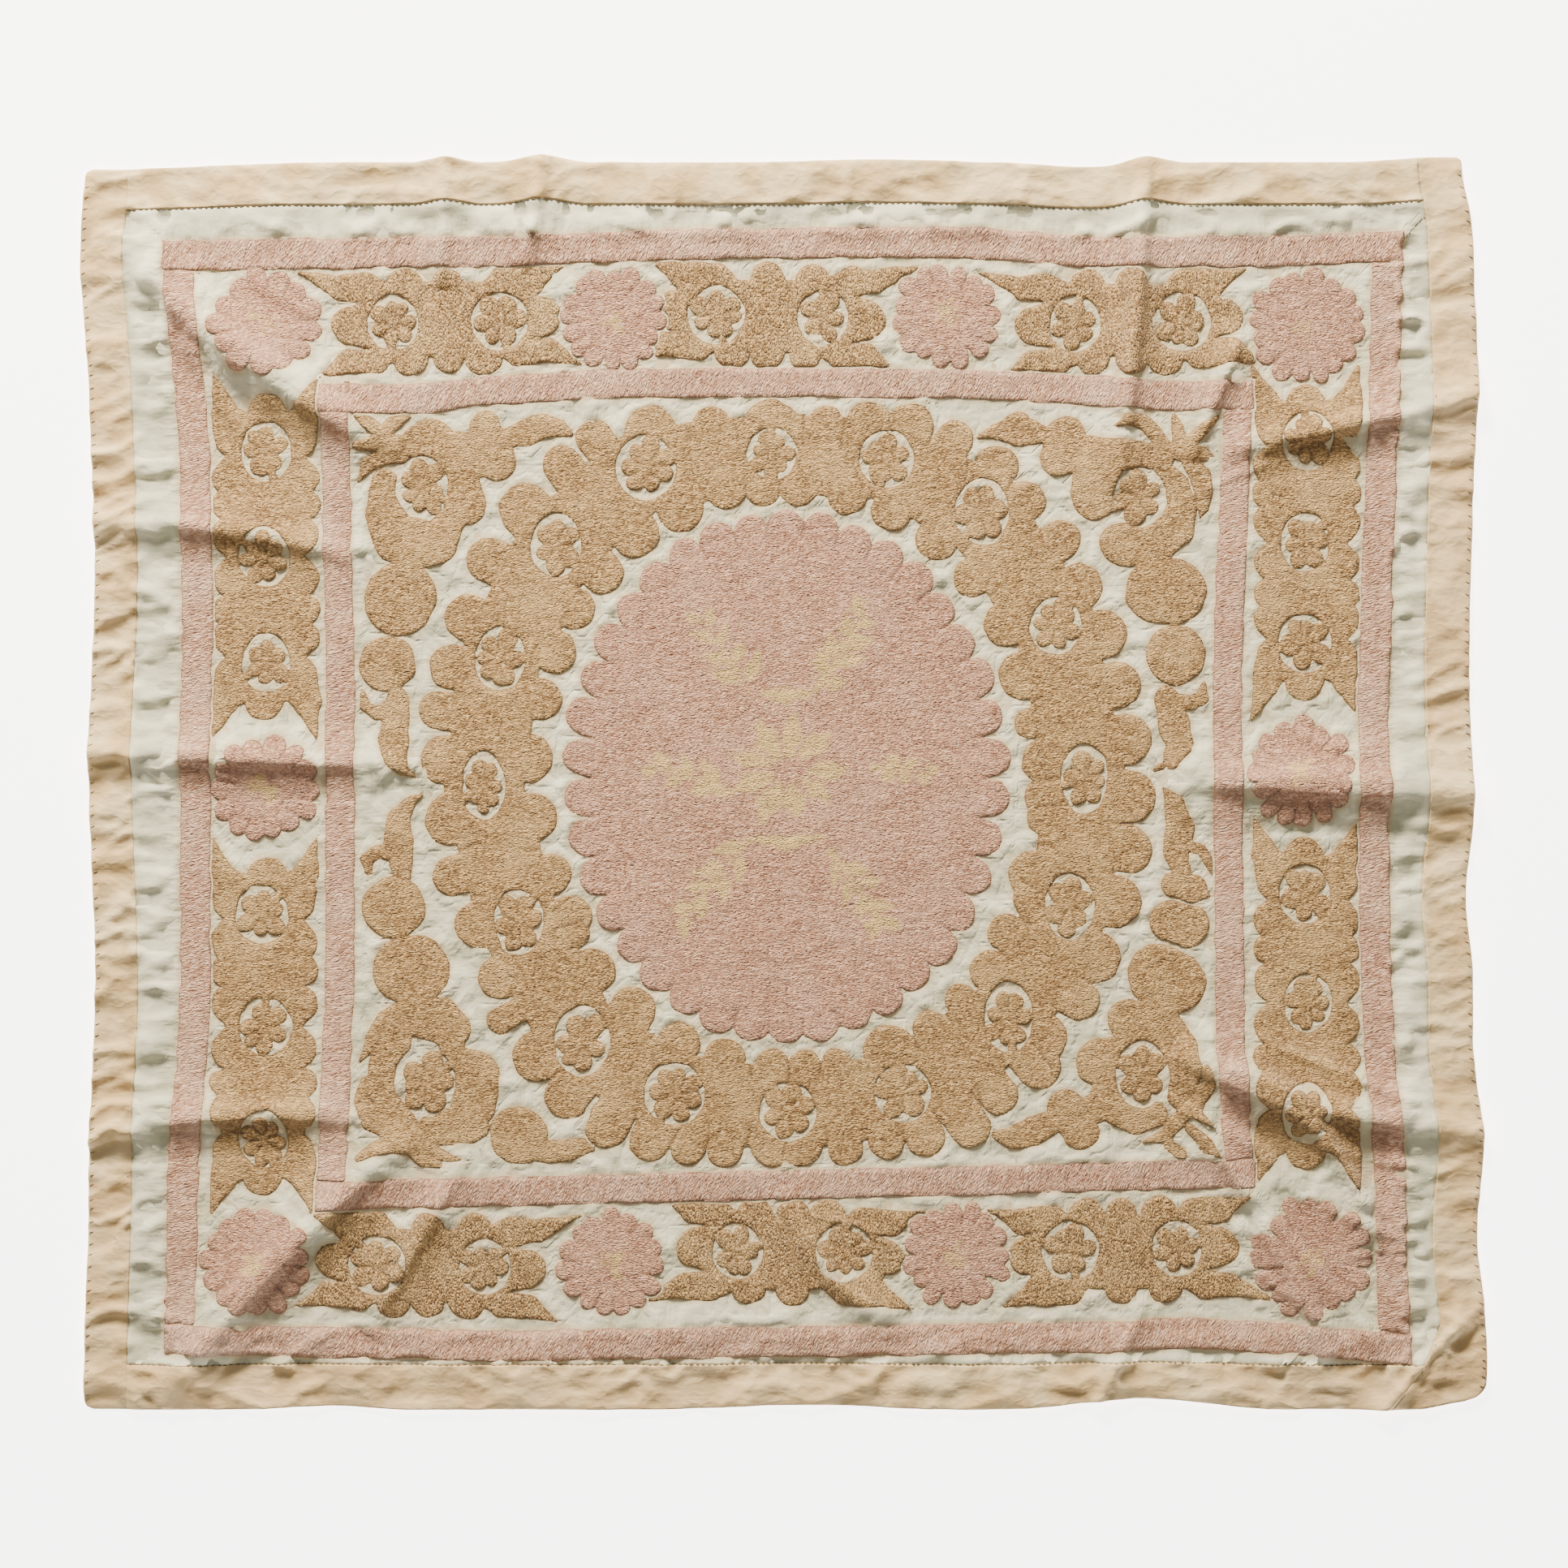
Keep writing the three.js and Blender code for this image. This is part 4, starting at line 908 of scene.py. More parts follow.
def thread_piece(name, field, relief, fade=None):
    """Raises a field into a piece of thread on the cloth."""
    inside = field > 0
    rows, columns = np.flatnonzero(inside.any(1)), np.flatnonzero(inside.any(0))
    j0, j1, i0, i1 = rows[0] - 1, rows[-1] + 2, columns[0] - 1, columns[-1] + 2
    field, inside = field[j0:j1, i0:i1], inside[j0:j1, i0:i1]
    xs, ys = XS[i0:i1], YS[j0:j1]
    height, width = field.shape
    number = np.full((3, height, width), -1, np.int64)
    number[0][inside] = np.arange(inside.sum())
    jj, ii = np.nonzero(inside)
    found = [np.column_stack([xs[ii], ys[jj], field[jj, ii]])]
    count = len(jj)
    for layer, (dj, di) in ((1, (0, 1)), (2, (1, 0))):
        a, b = field[: height - dj, : width - di], field[dj:, di:]
        jj, ii = np.nonzero((a > 0) != (b > 0))
        share = np.clip(a[jj, ii] / (a[jj, ii] - b[jj, ii]), 0.04, 0.96)
        number[layer][jj, ii] = count + np.arange(len(jj))
        count += len(jj)
        x, y = xs[ii] + share * di * STEP, ys[jj] + share * dj * STEP
        found.append(np.column_stack([x, y, np.zeros(len(jj))]))
    plan = np.concatenate(found)
    case = inside[:-1, :-1] + 2 * inside[:-1, 1:] + 4 * inside[1:, 1:] + 8 * inside[1:, :-1]
    token = [
        number[0][:-1, :-1], number[0][:-1, 1:], number[0][1:, 1:], number[0][1:, :-1],
        number[1][:-1, :-1], number[2][:-1, 1:], number[1][1:, :-1], number[2][:-1, :-1],
    ]
    faces, rim = {3: [], 4: [], 5: []}, []
    for code, polygons in CELL_FACES.items():
        jj, ii = np.nonzero(case == code)
        for polygon in polygons:
            corners = np.column_stack([token[t][jj, ii] for t in polygon])
            faces[len(polygon)].append(corners)
            for k, t in enumerate(polygon):
                after = (k + 1) % len(polygon)
                if t > 3 and polygon[after] > 3:
                    rim.append(corners[:, [k, after]])
    rim = np.concatenate(rim)
    on_rim = np.unique(rim)
    low = np.full(count, -1, np.int64)
    low[on_rim] = count + np.arange(len(on_rim))
    x, y, depth = plan.T
    ground = lookup(surface, x, y) + PANEL
    lift = LIFT["edge"] + (LIFT["full"] - LIFT["edge"]) * smooth(depth, 0.1, 3)
    top = ground + lift + lookup(relief, x, y) * smooth(depth, 0, 4)
    points = np.column_stack([x, y, top])
    skirt = np.column_stack([x[on_rim], y[on_rim], ground[on_rim] - 0.5])
    walls = np.column_stack([rim[:, 1], rim[:, 0], low[rim[:, 0]], low[rim[:, 1]]])
    groups = [np.concatenate(group) for group in faces.values() if group] + [walls]
    depths = np.concatenate([depth, np.full(len(on_rim), -1.0)])
    places = np.concatenate([plan, plan[on_rim]])[:, :2].T
    faded = np.zeros(len(depths)) if fade is None else lookup(fade, *places)
    points = np.concatenate([points, skirt])
    return add_piece(name, points, groups, depth=depths, fade=faded, sunken=lookup(sunken, *places))


print("thread stands", LIFT["full"], "mm over the cloth")

# %% [markdown]
# ## Where the colour has gone
# Cream thread was worked into the middle of the medallion and of each rosette: an open flower with a pink
# heart, two arcs, and six sprigs. It is worn and its edges are vague, so the strokes are softened and
# broken up by noise.

# %% Cream thread in the middles
CREAM_SPRIGS = [
    (-36, 96, -92, 182, 4), (34, 98, 88, 186, 4), (-60, -8, -146, 22, 3), (96, 18, 160, 12, 3),
    (-34, -58, -112, -146, 4),
    (52, -72, 108, -154, 4),
]
CREAM_ARCS = [[(-24, 98, 4), (0, 95, 8), (26, 97, 4)], [(-26, -58, 5), (4, -64, 8), (40, -56, 4)]]


def sprig(field, x0, y0, x1, y1, pairs):
    """A stem with pairs of pointed leaves."""
    length = math.hypot(x1 - x0, y1 - y0)
    ahead = math.atan2(y1 - y0, x1 - x0)
    stroke(field, x0, y0, 4, x1, y1, 1.5)
    for k in range(2 * pairs):
        share = (k // 2 + 0.3 + 0.3 * (k % 2)) / pairs
        x, y = x0 + (x1 - x0) * share, y0 + (y1 - y0) * share
        angle = ahead + (0.75 if k % 2 else -0.75) * chance.uniform(0.7, 1.2)
        reach = 0.34 * length * chance.uniform(0.8, 1.15) * (1.1 - 0.4 * share)
        c, s = reach * math.cos(angle), reach * math.sin(angle)
        path(field, [(x, y, 2), (x + 0.5 * c, y + 0.5 * s, 8), (x + c, y + s, 1)])


cream = blank()
for line in CREAM_ARCS:
    path(cream, line)
for row in CREAM_SPRIGS:
    sprig(cream, *row)
for k in range(9):
    angle = 2 * math.pi * (k + chance.uniform(-0.12, 0.12)) / 9
    c, s = math.cos(angle), math.sin(angle)
    reach = chance.uniform(0.9, 1.1)
    tips = [(22, 20, 5), (42 * reach, 40 * reach, 12), (58 * reach, 56 * reach, 6)]
    path(cream, [(3 + across * c, 16 + up * s, radius) for across, up, radius in tips])
for x, y, radius, petals in ROSETTES.values():
    for k in range(6):
        angle = 2 * math.pi * (k + chance.uniform(0, 1)) / 6
        reach = chance.uniform(8, 17)
        stroke(cream, x, y, 3, x + reach * math.cos(angle), y + reach * math.sin(angle), 2.6)
worn = 2.6 * soft_noise(GX, GY, 8, 4, 61, 8) + 2.6 * soft_noise(GX, GY, 24, 18, 62)
faded = smooth(cream + worn, -2.5, 3.5)
print("cream thread on", area(faded - 0.5), "square metres")

# %% [markdown]
# ## All the thread
# The thread of the blocks at the top and bottom was laid up and down, and elsewhere from side to side, so
# their soft rows run that way too. The wreath is one piece here, and stands for four of the solid model's
# nodes.

# %% All the thread
WREATH_NODES = [f"wreath_quarter_{k}" for k in (1, 2, 3, 4)]
for name, field in {**pink_fields, **sand_fields}.items():
    upright = "frame" not in name and name in PAIR_BLOCKS
    relief = columns_of_thread if upright else lumps_of_thread if "frame" in name else rows_of_thread
    piece = thread_piece(name + "_thread", field, relief, faded if name in pink_fields else None)
    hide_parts(*(WREATH_NODES if name == "wreath" else [name]))
    "pink_thread" if name in pink_fields else "sand_thread"
thread_pieces = list(pieces.values())
print("thread pieces:", len(thread_pieces), "triangles:", [triangles(piece) for piece in thread_pieces])

# %% [markdown]
# ## The ground panel
# The panel is one closed sheet. Where it shows between the threads it needs small faces for its puckers,
# and where thread hides it, larger ones will do. So large cells are split in four near open ground, and a
# large cell beside a split one takes the extra corners on their common side, which leaves no cracks.

# %% Ground panel
SLANTED_SEAM = [(640, -670), (672, -623), (691, -578)]


def right_seam(v):
    """Where the right seam lies at a place up the flat cloth: it turns in at the bottom."""
    return np.interp(v, [v for _, v in SLANTED_SEAM], [u for u, _ in SLANTED_SEAM])


FINE = 4.1
PANEL_SIZE = (1391, 1245)
GAP = 0.3
cells_x, cells_y = (4 * round(size / FINE / 4) for size in PANEL_SIZE)
share_u, share_v = np.meshgrid(np.linspace(0, 1, cells_x + 1), np.linspace(0, 1, cells_y + 1))
flat_v = SEAM["bottom"] + GAP + share_v * (SEAM["top"] - SEAM["bottom"] - 2 * GAP)
flat_u = SEAM["left"] + GAP + share_u * (right_seam(flat_v) - SEAM["left"] - 2 * GAP)
panel_x, panel_y = laid(flat_u, flat_v)
panel_z = lookup(surface, panel_x, panel_y)
hidden = lookup(cover, panel_x, panel_y) > 5


def blocks_of(values, size):
    """True for each block of cells whose corners are all true."""
    windows = np.lib.stride_tricks.sliding_window_view(values, (size + 1, size + 1))[::size, ::size]
    return windows.all((2, 3))


def ring(j, i, size, split, base):
    """The corners round a cell of the fine grid, as numbers, with each side cut into split[side] parts."""
    row = cells_x + 1
    sides = [((0, 0), (0, 1)), ((0, size), (1, 0)), ((size, size), (0, -1)), ((size, 0), (-1, 0))]
    corners = []
    for ((dj, di), (sj, si)), parts in zip(sides, split):
        for part in range(parts):
            ahead = part * size // parts
            corners.append((j + dj + sj * ahead) * row + i + di + si * ahead + base)
    return np.column_stack(corners)


def cells_with(mask, size, splits, base, turned):
    """Faces for the masked cells, grouped by how their four sides are cut."""
    faces = []
    jj, ii = np.nonzero(mask)
    cuts = np.column_stack([side[jj, ii] for side in splits])
    for cut in np.unique(cuts, axis=0):
        pick = (cuts == cut).all(1)
        group = ring(jj[pick] * size, ii[pick] * size, size, list(cut), base)
        faces.append(group[:, ::-1] if turned else group)
    return faces


whole = blocks_of(hidden, 2)
padded = np.pad(whole, 1, constant_values=True)
neighbours = [padded[:-2, 1:-1], padded[1:-1, 2:], padded[2:, 1:-1], padded[1:-1, :-2]]
splits = [np.where(neighbour, 1, 2) for neighbour in neighbours]
top_faces = cells_with(whole, 2, splits, 0, False)
fine_mask = np.repeat(np.repeat(~whole, 2, 0), 2, 1)
top_faces += cells_with(fine_mask, 1, [np.ones(fine_mask.shape, int)] * 4, 0, False)
rows, columns = cells_y // 4, cells_x // 4
low_splits = [np.ones((rows, columns), int) for _ in range(4)]
low_splits[0][0, :], low_splits[1][:, -1], low_splits[2][-1, :], low_splits[3][:, 0] = 4, 4, 4, 4
total = flat_u.size
low_faces = cells_with(np.ones((rows, columns), bool), 4, low_splits, total, True)
row = cells_x + 1
border = np.concatenate([
    np.arange(cells_x), np.arange(cells_y) * row + cells_x,
    cells_y * row + np.arange(cells_x, 0, -1), np.arange(cells_y, 0, -1) * row,
])
after = np.roll(border, -1)
walls = np.column_stack([after, border, border + total, after + total])
to_border = np.minimum(*(np.minimum(s, 1 - s) * size for s, size in zip((share_u, share_v), PANEL_SIZE)))
panel_thick = PANEL * (0.3 + 0.7 * smooth(to_border, 0, 6))
all_points = np.concatenate([
    np.column_stack([panel_x.ravel(), panel_y.ravel(), (panel_z + panel_thick).ravel()]),
    np.column_stack([panel_x.ravel(), panel_y.ravel(), panel_z.ravel()]),
])


def compact(points, faces, **attributes):
    """Leaves out the points that no face uses."""
    used = np.unique(np.concatenate([group.ravel() for group in faces]))
    renumber = np.full(len(points), -1, np.int64)
    renumber[used] = np.arange(len(used))
    return points[used], [renumber[group] for group in faces], {k: v[used] for k, v in attributes.items()}


on_panel = {
    "near": cover, "sunken": sunken,
    "pull_level": slope_x**2 - slope_y**2, "pull_slanted": 2 * slope_x * slope_y,
}
on_panel = {key: np.tile(lookup(grid, panel_x, panel_y).ravel(), 2) for key, grid in on_panel.items()}
points, faces, values = compact(all_points, top_faces + low_faces + [walls], **on_panel)
ground = add_piece("ground_cloth", points, faces, **values)
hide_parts("ground_panel")
print("ground panel:", triangles(ground), "triangles")

# %% [markdown]
# ## The strips
# Each strip is a band of cream cloth, folded under at its outer side and at the seam, so it is thicker than
# the panel and its sides are round. It is pieced from shorter lengths, and each join is a shallow groove.
# The right strip turns inwards at its lower end, and the outer corners are rounded.

# %% Strips
STRIP_STEP, STRIP_WIDTH = 3.1, 46
UPRIGHT_LENGTH, LEVEL_LENGTH = 1340, 1391
CORNERS = {("left", "top"): 7, ("right", "top"): 5, ("right", "bottom"): 22, ("left", "bottom"): 10}
JOINS = {
    "strip_left": [288, 183, -96, -418], "strip_right": [412, 60, -300], "strip_top": [-572, -6, 396, 573],
    "strip_bottom": [-388, 142, 470],
}
# How far each strip's pieced lengths go towards tan: a random tone for each length, times a share for each
# strip that is painted shade, least on the top strip and most on the right one.
TONE_AND_SHADE = {"strip_left": 0.8, "strip_right": 1.2, "strip_top": 0.2, "strip_bottom": 1.0}


def rounding(side, v):
    """How far a rounded corner moves the left or right edge inwards."""
    inset = np.zeros(np.shape(v))
    for end, sign in (("bottom", 1), ("top", -1)):
        radius = CORNERS[side, end]
        deep = np.clip(radius - (v - CLOTH[end]) * sign, 0, radius)
        inset += radius - np.sqrt(radius**2 - deep**2)
    return inset


def closer_at_sides(share):
    """Moves even shares from 0 to 1 a little towards both ends, for round sides."""
    return share + 0.5 * (np.sin((share - 0.5) * np.pi) / 2 + 0.5 - share)


def strip(name, u0, u1, v0, v1, upright, outer):
    """A closed band between two edges in each direction. outer says which side is the cloth's edge."""
    length = UPRIGHT_LENGTH if upright else LEVEL_LENGTH
    nu, nv = round(STRIP_WIDTH / STRIP_STEP), round(length / STRIP_STEP)
    if not upright:
        nu, nv = nv, nu
    su, sv = np.meshgrid(np.linspace(0, 1, nu + 1), np.linspace(0, 1, nv + 1))
    if upright:
        su = closer_at_sides(su)
    else:
        sv = closer_at_sides(sv)
    v = v0 + sv * (v1 - v0)
    low, high = u0(v), u1(v)
    u = low + su * (high - low)
    x, y = laid(u, v)
    across = (su if upright else sv) * STRIP_WIDTH
    to_outer = across if outer in ("left", "bottom") else STRIP_WIDTH - across
    to_seam = STRIP_WIDTH - to_outer
    place = v if upright else u
    join = sum(bump(place - at + 2 * np.sin(across / 9 + at), 4.5) for at in JOINS[name])
    ground = lookup(surface, x, y)
    ends = np.minimum(v - CLOTH["bottom"], CLOTH["top"] - v) if upright else np.full(x.shape, 99.0)
    thick = 0.75 + 1.3 * smooth(np.minimum(to_outer, ends), -0.5, 4.5) - 0.2 * (1 - smooth(to_seam, 0, 2))
    thick = thick - 0.7 * join
    count = x.size
    points = np.concatenate([
        np.column_stack([x.ravel(), y.ravel(), (ground + np.maximum(thick, 0.5)).ravel()]),
        np.column_stack([x.ravel(), y.ravel(), ground.ravel()]),
    ])
    j, i = np.meshgrid(np.arange(nv), np.arange(nu), indexing="ij")
    a = (j * (nu + 1) + i).ravel()
    square = np.column_stack([a, a + 1, a + nu + 2, a + nu + 1])
    row = nu + 1
    border = np.concatenate([
        np.arange(nu), np.arange(nv) * row + nu, nv * row + np.arange(nu, 0, -1), np.arange(nv, 0, -1) * row,
    ])
    after = np.roll(border, -1)
    walls = np.column_stack([after, border, border + count, after + count])
    tones = np.random.default_rng(len(name) + 70).uniform(0, 1, len(JOINS[name]) + 1)
    tone = TONE_AND_SHADE[name] * tones[np.searchsorted(np.sort(JOINS[name]), place.ravel())]
    piece = add_piece(
        name + "_cloth", points, [square, square[:, ::-1] + count, walls],
        tone=np.tile(tone, 2), sunken=np.tile(lookup(sunken, x, y).ravel(), 2),
    )
    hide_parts(name)
    return piece


def fixed(value):
    return lambda v: np.full(np.shape(v), float(value))


def left_edge(v):
    return CLOTH["left"] + rounding("left", v)


def right_edge(v):
    return CLOTH["right"] - rounding("right", v)


left_seam, level_end = fixed(SEAM["left"] + 0.9), fixed(SEAM["left"] + GAP)
strip("strip_left", left_edge, left_seam, CLOTH["bottom"], CLOTH["top"], True, "left")
strip("strip_right", lambda v: right_seam(v) - 0.9, right_edge, CLOTH["bottom"], CLOTH["top"], True, "right")
strip("strip_top", level_end, fixed(SEAM["right"] - GAP), SEAM["top"] - 0.9, CLOTH["top"], False, "top")
strip(
    "strip_bottom", level_end, lambda v: right_seam(v) - GAP,
    CLOTH["bottom"], SEAM["bottom"] + 0.9, False, "bottom",
)
print("strips:", [triangles(pieces[name + "_cloth"]) for name in JOINS])

# %% [markdown]
# ## Stitches that hold the strips
# A dark running stitch follows each seam, and short slanted overcast stitches go round the side edges. One
# plain stitch, a thin spindle, is copied to every place with array arithmetic. Each set is one mesh.

# %% Stitches
def stitches(name, starts, ends, radius, lift):
    """Spindles of thread between pairs of places in plan, laid on the cloth."""
    starts, ends = np.asarray(starts, float), np.asarray(ends, float)
    along = ends - starts
    length = np.hypot(*along.T)[:, None]
    side = np.column_stack([-along[:, 1], along[:, 0]]) / length * radius
    points = []
    for share, tip in ((0, True), (0.22, False), (0.78, False), (1, True)):
        middle = starts + along * share
        base = lookup(surface, *middle.T) + lift
        if tip:
            points.append(np.column_stack([middle, base - 0.2])[:, None])
            continue
        for across, up in ((-1, 0), (0, 1), (1, 0), (0, -1)):
            points.append(np.column_stack([middle + side * across, base + radius * 1.2 * up])[:, None])
    points = np.concatenate(points, axis=1)
    tips = np.array([(0, 2, 1), (0, 3, 2), (0, 4, 3), (0, 1, 4), (9, 5, 6), (9, 6, 7), (9, 7, 8), (9, 8, 5)])
    sides = np.array([(1, 2, 6, 5), (2, 3, 7, 6), (3, 4, 8, 7), (4, 1, 5, 8)])
    shift = (np.arange(len(starts)) * points.shape[1])[:, None, None]
    faces = [(tips + shift).reshape(-1, 3), (sides + shift).reshape(-1, 4)]
    return add_piece(name, points.reshape(-1, 3), faces)


def along_line(points, pitch, length, jitter, seed):
    """Starts and ends of stitches that follow a line on the laid cloth."""
    points = np.asarray(points, float)
    steps = np.hypot(*np.diff(points, axis=0).T)
    travelled = np.concatenate([[0], np.cumsum(steps)])
    random = np.random.default_rng(seed)
    at = np.arange(2, travelled[-1] - length - 1, pitch)
    at = at + random.uniform(-jitter, jitter, len(at))
    size = length * random.uniform(0.7, 1.15, len(at))

    def on(distance):
        return np.column_stack([np.interp(distance, travelled, points[:, k]) for k in (0, 1)])

    return [on(where) + random.uniform(-0.35, 0.35, (len(at), 2)) for where in (at, at + size)]


def flat_line(points, step=8):
    """A line on the flat cloth, as it lies."""
    points = np.asarray(points, float)
    travelled = np.concatenate([[0], np.cumsum(np.hypot(*np.diff(points, axis=0).T))])
    ahead = np.linspace(0, travelled[-1], int(travelled[-1] / step) + 2)
    u, v = (np.interp(ahead, travelled, points[:, k]) for k in (0, 1))
    return np.column_stack(laid(u, v))


seams = [
    flat_line([(-703, -668), (-701, 664)]), flat_line([(-700, 620), (691, 620)]),
    flat_line([(-700, -622), (671, -622)]), flat_line([(642, -668), (673, -623), (692, -578), (692, 664)]),
]
starts, ends = zip(*[along_line(line, 6.4, 4.6, 0.7, 80 + k) for k, line in enumerate(seams)])
seam_stitches = stitches("seam_stitches", np.concatenate(starts), np.concatenate(ends), 0.55, 1.45)
OVERCAST_PITCH = 12.4
overcast_starts, overcast_ends = [], []
for edge, inwards in (("left", 1), ("right", -1)):
    v = np.arange(-655, 655, OVERCAST_PITCH)
    v = v + np.random.default_rng(90 + inwards).uniform(-2, 2, len(v))
    rim = left_edge(v) if edge == "left" else right_edge(v)
    overcast_starts.append(np.column_stack(laid(rim + inwards * 1.2, v)))
    overcast_ends.append(np.column_stack(laid(rim + inwards * 6.5, v + 1.8)))
overcast = np.concatenate(overcast_starts), np.concatenate(overcast_ends)
edge_stitches = stitches("edge_stitches", *overcast, 0.55, 1.95)
curve = [(689 - 27 * math.sin(t), 605 - 27 * t * 0.55 + 4 * math.cos(3 * t)) for t in np.linspace(0, 1.7, 30)]
starts, ends = along_line(curve, 3.4, 4.2, 0.2, 95)
loose_thread = stitches("loose_thread", starts, ends, 0.4, 1.55)
print("stitches:", [triangles(piece) for piece in (seam_stitches, edge_stitches, loose_thread)], "triangles")

# %% [markdown]
# ## Writing shader maths as Python
# A material's nodes are easier to read as formulas. A small class wraps one socket and overloads the
# operators, so that 1 - mask adds a Math node. Colours are mixed by Mix nodes and places are moved by
# Vector Math nodes, because a Math node would turn a colour grey. Every other node comes from one method.

# %% Shader helper: sockets in arithmetic
class Wire:
    """An output socket that takes part in arithmetic on values."""

    def __init__(self, nodes, socket):
        self.nodes, self.socket = nodes, socket

    def maths(self, operation, *values, clamp=False):
        settings = {"operation": operation, "use_clamp": clamp}
        return self.nodes.add("ShaderNodeMath", settings, dict(enumerate(values)))[0]

    def __add__(self, other):
        return self.maths("ADD", self, other)

    def __sub__(self, other):
        return self.maths("SUBTRACT", self, other)

    def __rsub__(self, other):
        return self.maths("SUBTRACT", other, self)

    def __mul__(self, other):
        return self.maths("MULTIPLY", self, other)

    def __abs__(self):
        return self.maths("ABSOLUTE", self)

    __radd__, __rmul__ = __add__, __mul__

    def clamped(self):
        return self.maths("ADD", self, 0, clamp=True)

    def between(self, low, high):
        """A soft step: 0 at low and 1 at high."""
        settings = {"interpolation_type": "SMOOTHSTEP", "clamp": True}
        return self.nodes.add("ShaderNodeMapRange", settings, {0: self, 1: low, 2: high, 3: 0.0, 4: 1.0})[0]


class Node:
    """A node whose outputs are taken by name or number."""

    def __init__(self, nodes, node):
        self.nodes, self.node = nodes, node

    def __getitem__(self, key):
        return Wire(self.nodes, self.node.outputs[key])


print("sockets take part in + - * and abs()")

# %% Shader helper: one method for every node
class Material:
    """A material with a Principled shader, and the methods that add its nodes."""

    def __init__(self, name, **fixed_sockets):
        self.material = bpy.data.materials.new(name)
        self.material.use_nodes = True
        self.tree = self.material.node_tree
        self.shader = self.tree.nodes["Principled BSDF"]
        for key, value in fixed_sockets.items():
            self.shader.inputs[key.replace("_", " ")].default_value = value
        place = self.add("ShaderNodeTexCoord")["Object"]
        self.place = self.vector("SCALE", place, {"Scale": 1000.0})

    def add(self, kind, settings=None, inputs=None):
        node = self.tree.nodes.new(kind)
        for key, value in (settings or {}).items():
            setattr(node, key, value)
        for key, value in (inputs or {}).items():
            if isinstance(value, Wire):
                self.tree.links.new(value.socket, node.inputs[key])
            else:
                node.inputs[key].default_value = value
        return Node(self, node)

    def vector(self, operation, a, b):
        inputs = {0: a, **b} if isinstance(b, dict) else {0: a, 1: b}
        return self.add("ShaderNodeVectorMath", {"operation": operation}, inputs)[0]

    def mix(self, share, a, b):
        """A mix of two colours."""
        a, b = ((*c, 1) if isinstance(c, tuple) else c for c in (a, b))
        return self.add("ShaderNodeMix", {"data_type": "RGBA"}, {0: share, 6: a, 7: b})[2]

    def turned(self, angle):
        """The place, turned by an angle in degrees."""
        inputs = {"Vector": self.place, "Angle": math.radians(angle)}
        return self.add("ShaderNodeVectorRotate", {"rotation_type": "Z_AXIS"}, inputs)[0]

    def noise(self, place, size, detail=2.0, roughness=0.5, stretch=(1, 1, 1)):
        """Noise from 0 to 1, with features of about the given size in millimetres."""
        stretched = self.vector("MULTIPLY", place, tuple(1 / (size * s) for s in stretch))
        inputs = {"Vector": stretched, "Scale": 1.0, "Detail": detail, "Roughness": roughness}
        return self.add("ShaderNodeTexNoise", None, inputs)[0]

    def attribute(self, name):
        return self.add("ShaderNodeAttribute", {"attribute_name": name})["Fac"]

    def finish(self, colour, roughness, height):
        """Feeds the shader. height is in millimetres."""
        inputs = {"Height": height, "Distance": MM, "Strength": 1.0}
        bumped = self.add("ShaderNodeBump", None, inputs)["Normal"]
        for key, wire in (("Base Color", colour), ("Roughness", roughness), ("Normal", bumped)):
            self.tree.links.new(wire.socket, self.shader.inputs[key])
        print("material", self.material.name, "with", len(self.tree.nodes), "nodes")
        return self.material


def linear(red, green, blue):
    """A screen colour from 0 to 255, as the linear values that Blender works in."""
    return tuple(((c / 255 + 0.055) / 1.055) ** 2.4 for c in (red, green, blue))


def darker(colour, share):
    return tuple(c * share for c in colour)


print("shader helper ready")
